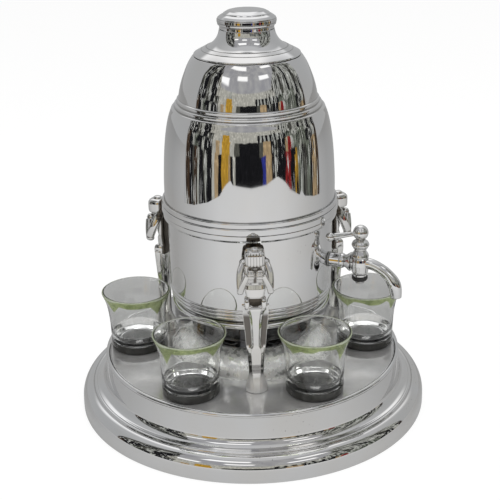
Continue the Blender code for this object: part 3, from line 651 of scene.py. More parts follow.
@dataclass(frozen=True)
class ClearGlass(Finish):
    """Pressed glass, clear in its body, with an olive band outside under the lip.

    Args:
        clear: Colour of the clear glass.
        olive: Colour of the band.
        deep: Colour of the darker threads in the band.
        lip: Colour of the lip's own edge.
        fringe: How far the band's lower edge runs up and down, as a share of the band's own value.
        ripple: Height of the glass's ripple in metres.
    """

    clear: Colour = (0.99, 0.995, 0.985)
    olive: Colour = (0.30, 0.38, 0.12)
    deep: Colour = (0.17, 0.23, 0.06)
    lip: Colour = (0.60, 0.65, 0.50)
    fringe: float = 0.40
    ripple: float = 0.0002

    def fill(self, graph: Graph, shader: bpy.types.Node, place: Signal) -> None:
        """Tints the outside under the lip, where the band value less a stretched noise is over a threshold.

        A face met from inside the glass keeps the clear colour, so the far wall of a cup stays neutral.
        """
        band = graph.groove()
        x, y, z = graph.split(place)
        tooth = graph.noise(graph.vector(x, y, z * 0.22), Fine.TEETH.value, 0.0).step(0.35, 0.68)
        outside = 1.0 - graph.out("ShaderNodeNewGeometry", "Backfacing")
        share = (band - tooth * self.fringe).step(0.02, 0.16) * outside
        lip = band.step(0.86, 0.96) * outside
        tint = graph.blend(graph.noise(place, Fine.THREADS.value).step(0.50, 0.64), self.olive, self.deep)
        solid = (share * 0.42).maths("MAXIMUM", lip * 0.45)
        graph.feed(shader, {"Base Color": graph.blend(lip, graph.blend(share, self.clear, tint), self.lip),
                            "Transmission Weight": 1.0 - solid, "IOR": 1.5,
                            "Roughness": graph.noise(place, Fine.BLOOM.value).step(0.5, 0.9) * 0.03})
        graph.bump(shader, graph.noise(place, Fine.SWIRL.value, 1.0), self.ripple, 0.35)


@dataclass(frozen=True)
class Plain(Finish):
    """A plain turned or moulded finish with a grain: colour between two tones, roughness and a fine bump.

    Args:
        tone: Main colour.
        other: Colour of the grain.
        rough: Lowest and highest roughness.
        grain: Scale of the grain, per metre.
        metallic: 1 for bare metal.
        bump: Height of the grain in metres.
    """

    tone: Colour
    other: Colour
    rough: tuple[float, float]
    grain: float
    metallic: float = 0.0
    bump: float = 0.00002

    def fill(self, graph: Graph, shader: bpy.types.Node, place: Signal) -> None:
        """Looks the colour, the roughness and the bump up from one fine noise."""
        grain = graph.noise(place, self.grain, 4.0)
        share = grain.step(0.3, 0.7)
        low, high = self.rough
        graph.feed(shader, {"Base Color": graph.blend(share, self.tone, self.other),
                            "Metallic": self.metallic, "Roughness": share * (high - low) + low})
        graph.bump(shader, grain, self.bump, 0.5)


SPUN_CHROME = Chrome("spun_chrome", Slot.CHROME)
PLINTH_CHROME = Chrome("plinth_chrome", Slot.CHROME, pitting=0.5, ripple=0.00002, hazy_inside=0.1105,
                       worn_inside=0.063)
# The neck's dark tint is partly tarnish and partly painted shade under the tank.
NECK_CHROME = Chrome("neck_tarnish_and_shade", Slot.CHROME, (0.20, 0.20, 0.205), pitting=0.2)
CAST_CHROME = Chrome("cast_chrome", Slot.CHROME, (0.78, 0.775, 0.765), film_and_shade=0.95,
                     tarnish_and_shade=(0.075, 0.060, 0.044), ripple=0.00002, dull_below=0.056)
TAP_CHROME = Chrome("tap_chrome", Slot.CHROME, (0.78, 0.78, 0.775), film_and_shade=0.5, ripple=0.00002)
CLEAR_GLASS = ClearGlass("clear_glass", Slot.CLEAR)
BLACK_GLOSS = Plain("black_gloss", Slot.BLACK, (0.024, 0.024, 0.022), (0.038, 0.037, 0.033), (0.05, 0.14),
                    260.0)
FIBRE_BLACK = Plain("fibre_black", Slot.BLACK, (0.01, 0.01, 0.01), (0.03, 0.028, 0.026), (0.35, 0.6), 700.0)
RUBBER = Plain("seal_rubber", Slot.RUBBER, (0.02, 0.02, 0.02), (0.035, 0.034, 0.033), (0.6, 0.8), 600.0)
GREY_RUBBER = Plain("gasket_rubber", Slot.RUBBER, (0.3, 0.3, 0.29), (0.22, 0.22, 0.21), (0.35, 0.55), 600.0)
STEEL = Plain("plain_steel", Slot.STEEL, (0.50, 0.50, 0.51), (0.40, 0.39, 0.38), (0.25, 0.42), 500.0, 1.0)
BRASS = Plain("old_brass", Slot.BRASS, (0.62, 0.46, 0.20), (0.42, 0.29, 0.11), (0.25, 0.45), 350.0, 1.0)


# Sub-assemblies


@dataclass
class Plinth:
    """The round base: a moulded foot, a flared riser with a rolled rim, a mirror-flat floor and a raised hub.

    Args:
        foot_radius: Radius of the foot, in millimetres.
        roll_knots: Points of the foot's wide roll, from its upright face to its top.
        thin_bead: Centre and size of the thin bead inside the roll.
        cove: Centre and size of the hollow at the riser's foot.
        rim: Centre and size of the rolled rim.
        floor: Height of the floor.
        hub_knots: Points of the hub's swell from the floor up.
        top: Height of the hub's flat top.
        wall: Thickness of the spun sheet.
    """

    foot_radius: float = 134.3
    roll_knots: Knots = (
        (134.25, 6.5), (133.95, 9.8), (133.05, 12.5), (131.3, 15.1), (128.8, 16.95), (126.2, 17.75),
    )
    thin_bead: Corner = (123.5, 17.6, 1.7)
    cove: Corner = (122.6, 26.3, 6.9)
    rim: Corner = (112.65, 41.2, 1.75)
    floor: float = 42.0
    hub_knots: Knots = ((61.9, 43.2), (60.3, 47.6), (56.6, 52.7), (51.8, 56.6), (48.2, 58.3))
    top: float = 58.5
    wall: float = 1.2

    def outer_line(self) -> np.ndarray:
        """Returns the seen side: a wide roll, a thin bead, a cove, the riser, its rim, floor and hub."""
        radius, floor = self.foot_radius, self.floor
        base = rounded_line([(radius - 6.0, 0.0, 0.0), (radius, 0.0, 0.6), (radius, 2.0, 0.0)])
        roll = smooth_line([(radius, 2.0), *self.roll_knots], 44)
        groove = np.array([[125.65, 17.5]])
        ring = bead(*self.thin_bead, 12.0, 112.0, 14)
        cove = bead(*self.cove, -93.0, -176.0, 16)
        riser = np.array([[114.15, 39.9]])
        rim = bead(*self.rim, -24.0, 176.0, 18)
        flat = rounded_line([(110.85, floor + 0.3, 0.0), (110.6, floor, 0.25), (63.2, floor, 0.9),
                             (62.1, floor + 0.6, 0.3), self.hub_knots[0] + (0.0,)])
        hub = smooth_line(self.hub_knots, 26)
        top = rounded_line([self.hub_knots[-1] + (0.0,), (46.9, self.top, 0.2), (2.8, self.top, 0.0)])
        return joined(base, roll, groove, ring, cove, riser, rim, flat, hub, top)

    def inner_line(self) -> np.ndarray:
        """Returns the hidden side, from the stud's hole back down to the foot's flange."""
        wall = self.wall
        inner_edge = self.foot_radius - wall
        return rounded_line([
            (2.8, self.top - wall, 0.0), (47.4, 57.3, 2.0), (55.2, 52.0, 6.0), (60.6, 40.8, 1.2),
            (112.5, 40.8, 1.2), (115.2, 23.6, 3.0), (122.0, 16.6, 3.0), (125.5, 16.2, 2.0),
            (129.9, 12.0, 2.0), (130.6, 9.2, 0.6), (inner_edge, 8.6, 1.0), (inner_edge, wall, 0.4),
            (self.foot_radius - 6.0, wall, 0.0),
        ])

    def build(self) -> None:
        """Makes the plinth in place of its CAD node."""
        line = joined(self.outer_line(), self.inner_line())
        add_piece("plinth_shell", turned(line, 256), PLINTH_CHROME, Body.STAND.value, "base_plinth")


@dataclass
class Tank:
    """The beehive tank: neck drum, foot ring, lower shell, middle band and upper shell.

    Args:
        neck_radius: Radius of the drum below the tank, in millimetres.
        ring_centre: Centre of the foot ring's half-round.
        ring_size: Radius of the foot ring's half-round.
        belly_knots: Points of the upper shell from the band to the rolls.
        crown_knots: Points of the upper shell from the rolls to its shoulder at the mouth.
    """

    neck_radius: float = 45.5
    ring_centre: tuple[float, float] = (58.45, 83.65)
    ring_size: float = 2.25
    belly_knots: Knots = (
        (63.35, 165.3), (63.4, 176.0), (62.95, 188.0), (62.05, 202.0), (60.75, 213.5), (59.1, 222.6),
        (57.25, 229.2), (56.3, 231.6),
    )
    crown_knots: Knots = (
        (50.2, 241.4), (49.35, 246.0), (47.5, 252.8), (45.0, 259.5), (41.9, 266.1), (39.9, 269.2),
    )

    def neck_line(self) -> np.ndarray:
        """Returns the drum: a thin tube with a fine bead."""
        radius = self.neck_radius
        return rounded_line([
            (radius - 1.0, 58.8, 0.0), (radius, 58.8, 0.1), (radius, 64.9, 0.3), (radius + 0.55, 65.3, 0.25),
            (radius + 0.55, 66.0, 0.25), (radius, 66.4, 0.3), (radius, 84.3, 0.1), (radius - 1.0, 84.3, 0.0),
        ])

    def ring_line(self) -> np.ndarray:
        """Returns the closed plate under the tank with its half-round edge."""
        rim = bead(*self.ring_centre, self.ring_size, -150.0, 88.0, 20)
        under = np.array([[0.0, 84.6], [55.9, 84.6], [56.3, 83.6]])
        over = np.array([[57.0, 85.9], [0.0, 85.9]])
        return joined(under, rim, over)

    def lower_line(self) -> np.ndarray:
        """Returns the lower shell: a cove, three fine beads, a nearly straight wall, and the inside."""
        cove = rounded_line([(0.0, 86.2, 0.0), (56.9, 86.2, 0.6), (57.5, 88.3, 0.5), (59.3, 88.5, 0.2)])
        beads = [bead(radius, height, 1.48, -78.0, 80.0, 12)
                 for radius, height in ((59.55, 89.85), (59.95, 92.75), (60.25, 95.7))]
        wall = rounded_line([
            (60.85, 97.35, 0.0), (61.55, 97.7, 0.3), (61.85, 140.0, 0.0), (61.9, 160.8, 0.2),
            (61.0, 160.8, 0.0), (60.6, 99.0, 1.0), (56.6, 88.8, 2.0), (56.2, 87.4, 0.5), (0.0, 87.4, 0.0),
        ])
        return joined(cove, *beads, wall)

    def band_line(self) -> np.ndarray:
        """Returns the band of three beads round the joint."""
        return rounded_line([
            (62.3, 150.7, 0.0), (64.0, 150.7, 0.9), (65.15, 152.6, 1.6), (65.2, 156.05, 1.4),
            (64.3, 156.15, 0.12), (65.8, 156.2, 1.5), (65.75, 161.3, 1.7), (64.25, 161.45, 0.12),
            (65.3, 161.55, 1.1), (65.25, 165.35, 1.7), (63.6, 165.2, 0.0), (63.6, 157.1, 0.0),
            (62.3, 157.1, 0.0),
        ], steps=8)

    def upper_line(self) -> np.ndarray:
        """Returns the upper shell: belly, three rolls, crown, the mouth's ledge, and the inside back down."""
        belly = smooth_line(self.belly_knots, 60)
        rolls = rounded_line([
            self.belly_knots[-1] + (0.0,), (55.5, 233.9, 1.5), (53.3, 234.3, 0.12), (53.55, 236.9, 1.4),
            (51.4, 237.4, 0.12), (51.65, 239.9, 1.3), (50.35, 240.5, 0.15), self.crown_knots[0] + (0.0,),
        ], steps=9)
        crown = smooth_line(self.crown_knots, 50)
        mouth = rounded_line([self.crown_knots[-1] + (0.0,),
                              (38.75, 270.6, 0.9), (33.7, 270.6, 0.3), (33.7, 269.6, 0.2),
                              (37.7, 269.5, 0.8), (43.0, 261.0, 9.0), (48.4, 244.0, 6.0),
                              (49.2, 239.6, 1.0), (54.9, 230.2, 4.0), (58.0, 221.6, 9.0),
                              (61.1, 201.0, 20.0), (62.3, 184.0, 12.0),
                              (62.3, 157.5, 0.2), (63.3, 157.5, 0.2), (63.3, 165.2, 0.0)])
        return joined(belly, rolls, crown, mouth)

    def build(self) -> None:
        """Makes the five spun pieces in place of their CAD nodes."""
        lower = turned(self.lower_line(), 256, closed=False)
        stand = Body.STAND.value
        add_piece("neck_tube", turned(self.neck_line()), NECK_CHROME, stand, "neck_drum")
        add_piece("foot_ring_plate", turned(self.ring_line(), 256, closed=False), SPUN_CHROME, stand,
                  "tank_foot_ring")
        add_piece("lower_shell", lower, SPUN_CHROME, stand, "tank_lower_shell")
        add_piece("beaded_band", turned(self.band_line(), 256), SPUN_CHROME, stand, "mid_band")
        add_piece("beehive_shell", turned(self.upper_line(), 256), SPUN_CHROME, stand, "tank_upper_shell")


@dataclass
class Lid:
    """The lift-off lid with its turned knob.

    Args:
        flare_knots: Points of the concave flare, from its inner groove up to the knob.
        knob_foot: Height of the knob's underside, in millimetres.
        hole_top: Height of the top of the screw's hole in the knob.
    """

    flare_knots: Knots = (
        (28.75, 276.75), (26.4, 278.1), (23.9, 280.1), (21.9, 282.6), (20.5, 285.5), (19.75, 288.6),
    )
    knob_foot: float = 289.3
    hole_top: float = 297.3

    def dome_line(self) -> np.ndarray:
        """Returns the lid: a lip, two fine steps, the flare, and the inside down to the skirt."""
        edge = rounded_line([
            (33.4, 270.9, 0.2), (38.1, 270.9, 0.3), (38.4, 271.25, 0.3), (38.2, 271.95, 0.5),
            (35.4, 273.5, 3.0), (32.95, 274.75, 0.3), (32.55, 274.65, 0.12), (32.3, 275.1, 0.15),
            (29.55, 276.65, 0.3), (29.15, 276.4, 0.12), (28.95, 276.75, 0.1), self.flare_knots[0] + (0.0,),
        ])
        flare = smooth_line(self.flare_knots, 30)
        inside = rounded_line([
            self.flare_knots[-1] + (0.0,), (19.7, 289.0, 0.2), (2.3, 289.0, 0.0), (2.3, 288.0, 0.0),
            (18.6, 288.0, 0.3), (21.0, 282.0, 2.0), (25.9, 277.4, 3.0), (32.4, 273.9, 0.4),
            (32.4, 262.0, 0.2), (33.4, 262.0, 0.2), (33.4, 270.6, 0.0),
        ])
        return joined(edge, flare, inside)

    def knob_line(self) -> np.ndarray:
        """Returns the knob: a short neck, two fine rings, a rounded shoulder, a flat top and its hole."""
        foot, hole = self.knob_foot, self.hole_top
        return rounded_line([
            (1.9, foot, 0.0), (19.45, foot, 0.2), (19.55, 291.4, 0.5), (20.75, 292.2, 0.6),
            (21.0, 293.55, 0.25), (20.75, 293.8, 0.1), (21.2, 294.1, 0.3), (21.2, 296.0, 0.3),
            (20.7, 296.25, 0.1), (20.75, 296.9, 0.6), (18.9, 298.3, 1.4), (16.7, 299.4, 0.3),
            (16.5, 299.9, 0.12), (15.9, 300.3, 0.3), (13.9, 301.4, 1.0), (11.7, 301.95, 2.0),
            (6.0, 302.0, 2.0), (0.0, 301.9, 0.0), (0.0, hole, 0.0), (1.9, hole, 0.0),
        ])

    def build(self) -> None:
        """Makes the lid and its knob in place of their CAD nodes."""
        add_piece("lid_flare", turned(self.dome_line(), 224), SPUN_CHROME, Body.LID.value, "lid_dome")
        knob = self.knob_line()
        hole = int(np.argmin(np.abs(knob[:, 0]) + np.abs(knob[:, 1] - self.hole_top)))
        finial = turned(joined(knob[hole:], knob[:hole]), 160, closed=False)
        add_piece("lid_finial", finial, SPUN_CHROME, Body.LID.value, "lid_knob")


@dataclass
class CastFigure:
    """One cast standing figure with its head bowed in its hands, modelled about its own screw.

    Local +X faces outwards, +Y is the figure's left seen from outside, and heights are above the table.

    Args:
        ring_radius: Distance of the screw from the decanter's axis, in millimetres.
        flute_pitch: Width of one flute of the hair.
        leg_stations: Rows of height, panel half-width, panel front, hollow depth, corner half-width, corner
            place, back half-width and back place, all in millimetres, from the foot up.
        trunk_stations: Rows of height, half-width, front and back.
    """

    ring_radius: float = 76.0
    flute_pitch: float = 2.3
    leg_stations: tuple[tuple[float, ...], ...] = (
        (42.3, 2.0, 7.5, -1.6, 7.8, 2.6, 5.0, -7.4),
        (44.8, 2.0, 7.5, -1.6, 7.8, 2.6, 5.0, -7.2),
        (46.2, 2.0, 7.3, -1.5, 7.7, 2.5, 4.9, -7.0),
        (48.5, 2.2, 6.5, -1.3, 7.2, 2.2, 4.6, -6.3),
        (51.0, 2.5, 5.4, -1.0, 6.4, 1.8, 4.1, -5.1),
        (53.5, 2.7, 4.4, -0.6, 5.7, 1.4, 3.6, -4.0),
        (56.5, 3.0, 3.9, -0.4, 5.3, 1.1, 3.3, -3.3),
        (60.0, 3.2, 3.9, -0.4, 5.4, 1.1, 3.4, -3.2),
        (68.0, 3.4, 4.2, -0.5, 5.9, 1.2, 3.6, -3.3),
        (73.0, 3.5, 4.3, -0.5, 6.3, 1.3, 3.9, -3.5),
        (76.5, 2.8, 4.3, 0.5, 6.8, 1.5, 4.0, -3.6),
        (79.0, 1.7, 4.2, 1.5, 7.1, 1.6, 4.2, -3.7),
        (88.0, 1.9, 4.4, 2.0, 7.7, 2.1, 4.8, -4.0),
        (98.0, 2.3, 4.7, 2.2, 8.7, 2.4, 5.4, -4.3),
        (103.0, 2.8, 4.9, 2.0, 9.1, 2.6, 5.7, -4.4),
        (106.5, 3.6, 5.1, 0.6, 9.4, 2.8, 5.8, -4.5),
        (108.4, 3.9, 5.0, 0.2, 9.5, 2.9, 5.8, -4.5),
    )
    trunk_stations: tuple[tuple[float, ...], ...] = (
        (107.0, 7.0, -0.8, -4.8), (114.3, 7.0, -0.8, -4.8), (114.7, 6.3, 2.2, -4.8), (116.0, 6.5, 2.5, -4.8),
        (121.5, 7.6, 2.2, -4.8), (124.5, 8.0, 0.9, -4.7), (127.0, 7.9, 1.9, -4.8), (132.5, 7.7, 2.5, -4.8),
        (139.0, 8.2, 2.0, -5.0), (143.5, 8.3, -0.2, -5.0), (146.0, 6.0, -1.5, -4.5),
    )

    @staticmethod
    def stations(rows: Sequence[tuple[float, ...]], steps: int) -> tuple[np.ndarray, list[np.ndarray]]:
        """Reads a table of stations off at even heights, and at its own, straight between its rows.

        Args:
            rows: Rows that start with a height, from the lowest up.
            steps: How many even heights to take.

        Returns:
            The heights, and a column of values at them for each of the table's other columns.
        """
        table = np.asarray(rows)
        heights = np.unique(np.concatenate([np.linspace(table[0, 0], table[-1, 0], steps), table[:, 0]]))
        return heights, [np.interp(heights, table[:, 0], column)[:, None] for column in table.T[1:]]

    def leg_block(self) -> Surface:
        """Lofts the foot, the legs and the thighs in one shell.

        Each half section runs from the front panel's middle to its edge, then along a quadratic to the outer
        corner, which is hollow by the hollow depth or bulges where that is negative, then along a full
        quadratic round the back. The thighs' upper corners are drawn up into tips.
        """
        heights, (panel, front, hollow, corner, place, back, rear) = self.stations(self.leg_stations, 110)
        run = np.array([0.0, 0.5, 0.9, 1.0])[None]
        curve = np.array([0.06, 0.2, 0.35, 0.5, 0.65, 0.8, 0.94, 1.0])[None]
        bend = np.array([0.05, 0.2, 0.4, 0.6, 0.8, 0.95, 1.0])[None]
        middle_x = (front - 0.35 + place) / 2.0 - hollow
        middle_y = (panel + corner) / 2.0 - 0.25 * hollow
        half_x = np.concatenate([front + 0.0 * run, quadratic(curve, front - 0.3, middle_x, place),
                                 quadratic(bend, place, 0.55 * rear, rear), rear], axis=1)
        half_y = np.concatenate([panel * run, quadratic(curve, panel, middle_y, corner),
                                 quadratic(bend, corner, 0.98 * corner, 0.7 * back), 0.0 * rear], axis=1)
        ring_x = np.concatenate([half_x, half_x[:, -2:0:-1]], axis=1)
        ring_y = np.concatenate([half_y, -half_y[:, -2:0:-1]], axis=1)
        rings = np.stack([ring_x, ring_y, np.broadcast_to(heights[:, None], ring_x.shape)], axis=-1)
        tips = faded(rings[..., 2], 100.0, 108.4) * faded(np.abs(rings[..., 1]), 4.0, 9.5)
        rings[..., 2] += 2.2 * tips ** 1.5
        shell = capped(rings)
        # Painted shade in the hollows down the thighs, carried by the groove value.
        shade = np.zeros(ring_x.shape)
        thigh = faded(heights, 76.0, 79.0) * faded(heights, 106.0, 101.0)
        shade[:, 6:11] = thigh[:, None]
        shade[:, -10:-5] = thigh[:, None]
        shell.groove[: shade.size] = 0.85 * shade.ravel()
        return shell

    @staticmethod
    def evened(share: np.ndarray, power: float) -> np.ndarray:
        """Spreads shares of a quarter turn so that a superellipse gets even steps at both ends of it."""
        return share ** (power / 2.0) / (share ** (power / 2.0) + (1.0 - share) ** (power / 2.0))

    def bulge(self, centre: Corner, half: Corner, power: tuple[float, float], sides: int = 40,
              rows: int = 30) -> Surface:
        """Returns a squared ellipsoid: x and y follow a superellipse of one power, and z one of the other.

        Args:
            centre: Its middle, in millimetres.
            half: Its half sizes.
            power: Squareness seen from above and from the side; 2 is round.
            sides: Steps round.
            rows: Steps up.

        Returns:
            The surface.
        """
        corner, share = np.divmod(np.arange(sides) * 4.0 / sides, 1.0)
        around = (corner + self.evened(share, power[0])) * math.pi / 2.0
        level = np.linspace(-1.0, 1.0, rows + 1)[1:-1]
        rise = np.sign(level) * self.evened(np.abs(level), power[1]) * math.pi / 2.0
        ring = np.stack([squared(np.cos(around), power[0]), squared(np.sin(around), power[0])], axis=-1)
        rings = np.empty((len(rise), sides, 3))
        rings[..., :2] = squared(np.cos(rise), power[1])[:, None, None] * ring[None]
        rings[..., 2] = squared(np.sin(rise), power[1])[:, None]
        return capped(rings * half + centre)

    def head(self) -> Surface:
        """Returns the bowed head: a squared ellipsoid with upright flutes and a toothed fringe.

        The wave is |sin(pi y / pitch)|. A flute is as deep as 1 less the wave to the power 0.7, faded out at
        the back and the sides, and its groove value is the square of 1 less the wave. The fringe's lower edge
        moves up and down with the wave.
        """
        centre = np.array([3.0, 0.0, 146.2])
        shell = self.bulge(tuple(centre), (6.9, 6.9, 5.9), (3.2, 4.6), 160, 56)
        points = shell.points
        wave = np.abs(np.sin(math.pi * (points[:, 1] / self.flute_pitch + 0.5)))
        fluted = faded(points[:, 0], 1.0, 4.0) * faded(np.abs(points[:, 1]), 6.4, 5.2)
        fluted *= faded(points[:, 2], 141.2, 142.2) * faded(points[:, 2], 151.6, 150.6)
        outward = points - centre
        outward /= np.maximum(np.linalg.norm(outward, axis=1, keepdims=True), 1e-6)
        points = points - outward * ((1.0 - wave ** 0.7) * fluted)[:, None] * 0.8
        # Under the fringe's edge the points step back, and the groove value of 0.85 there is painted shade.
        fringe = 141.3 + 0.8 * (1.0 - wave)
        under = np.clip((fringe - points[:, 2]) / 0.3, 0.0, 1.0)
        points[:, 0] -= under * np.clip(points[:, 0], 0.0, 1.6)
        groove = np.maximum((1.0 - wave) ** 2 * fluted * 0.8, under * 0.85)
        return Surface(points, shell.faces, np.clip(groove * (points[:, 0] > 0.0), 0.0, 0.9))

    def hand(self) -> Surface:
        """Returns one closed hand over the face, with three finger grooves across its front."""
        shell = self.bulge((8.4, 3.0, 135.7), (3.0, 3.05, 3.7), (2.8, 2.6), 64, 40)
        points = shell.points
        wave = np.abs(np.sin(math.pi * (points[:, 2] - 132.3) / 1.85))
        front = faded(points[:, 0], 8.0, 10.0)
        points = points - np.array([0.45, 0.0, 0.0]) * ((1.0 - wave ** 0.6) * front)[:, None]
        return Surface(points, shell.faces, (1.0 - wave) ** 2 * front * 0.6)

    def arm(self) -> list[Surface]:
        """Returns one arm: an upper arm to the elbow and a forearm up to the hand, in squared sections."""
        share = np.linspace(0.0, 1.0, 28)
        swell = 0.2 * np.sin(math.pi * share)
        upper_knots = ((-1.5, 8.3, 140.2), (0.5, 10.1, 135.6), (3.0, 10.8, 129.4), (5.4, 10.7, 123.4))
        upper = swept(smooth_line(upper_knots, 28), 2.2 + swell, 2.9 + swell, 3.6)
        fore_knots = ((6.0, 10.6, 121.7), (7.2, 9.3, 126.4), (8.3, 7.4, 131.2), (8.9, 5.6, 135.6))
        fore = swept(smooth_line(fore_knots, 28), 2.2 - 0.3 * share, 2.4 - 0.4 * share, 3.4)
        elbow = self.bulge((5.4, 10.6, 122.2), (3.2, 2.3, 2.3), (2.6, 2.2), 40, 24)
        shoulder = self.bulge((-1.6, 7.7, 140.0), (3.0, 3.1, 3.4), (2.6, 2.4), 40, 24)
        return [upper, fore, elbow, shoulder]

    def trunk(self) -> Surface:
        """Returns waist, belly, chest and shoulders as one loft of squared sections.

        The section is a superellipse of power 3 between a station's front and back. The chest has a crease
        down its middle. The lap under the belly and the chest under the hands get painted shade.
        """
        heights, (wide, front, back) = self.stations(self.trunk_stations, 96)
        angles = circle(72)[None]
        along = squared(np.cos(angles), 3.0)
        rings = np.empty((len(heights), 72, 3))
        rings[..., 0] = (front + back) / 2.0 + along * (front - back) / 2.0
        rings[..., 1] = wide * squared(np.sin(angles), 3.0)
        rings[..., 2] = heights[:, None]
        chest = faded(rings[..., 2], 124.5, 126.5) * faded(rings[..., 2], 138.0, 136.0)
        crease = np.exp(-(rings[..., 1] / 1.1) ** 2) * chest * (along > 0.3)
        rings[..., 0] -= 1.3 * crease
        shell = capped(rings)
        x, _, z = shell.points.T
        # Painted shade: the lap under the belly gets the full groove value, and the chest's front under the
        # hands 0.45; the chest's crease is darkened as well.
        lap = (z < 114.6) & (x > -2.0)
        shell.groove = np.maximum(lap * 1.0, faded(z, 124.5, 126.5) * (x > 0.0) * 0.45)
        shell.groove[: crease.size] = np.maximum(shell.groove[: crease.size], crease.ravel())
        return shell

    def torso(self) -> list[Surface]:
        """Returns the hips beside the lap's hollow, the trunk, the neck and the low knob on the head."""
        hips = self.bulge((0.6, 5.9, 110.9), (4.0, 2.1, 4.7), (3.2, 3.0), 44, 30)
        neck = self.bulge((0.8, 0.0, 140.5), (3.4, 4.0, 4.5), (2.2, 2.2), 32, 20)
        # Painted shade: the whole neck under the bowed head gets a groove value of 0.6.
        neck.groove[:] = 0.6
        knob = self.bulge((3.4, 0.0, 152.4), (3.0, 2.8, 1.5), (2.6, 2.4), 32, 16)
        return [hips, hips.mirrored(), self.trunk(), neck, knob]

    def build(self, azimuths: dict[str, float]) -> None:
        """Makes one casting, with a rough back, and places it at each azimuth.

        Args:
            azimuths: CAD node names and where they stand.
        """
        hand = self.hand()
        arms = self.arm()
        shells = [self.leg_block(), self.head(), hand, hand.mirrored(), *self.torso()]
        casting = merged(shells + arms + [shell.mirrored() for shell in arms])
        x, _, z = casting.points.T
        rough_back = np.clip((np.where(z > 138.0, 0.4, -1.4) - x) / 2.0, 0.0, 1.0) * (z > 108.0)
        casting.groove = np.maximum(casting.groove, rough_back)
        for node, azimuth in azimuths.items():
            placed = casting.moved(azimuth, self.ring_radius)
            add_piece(f"{node}_casting", placed, CAST_CHROME, Body.STAND.value, node)


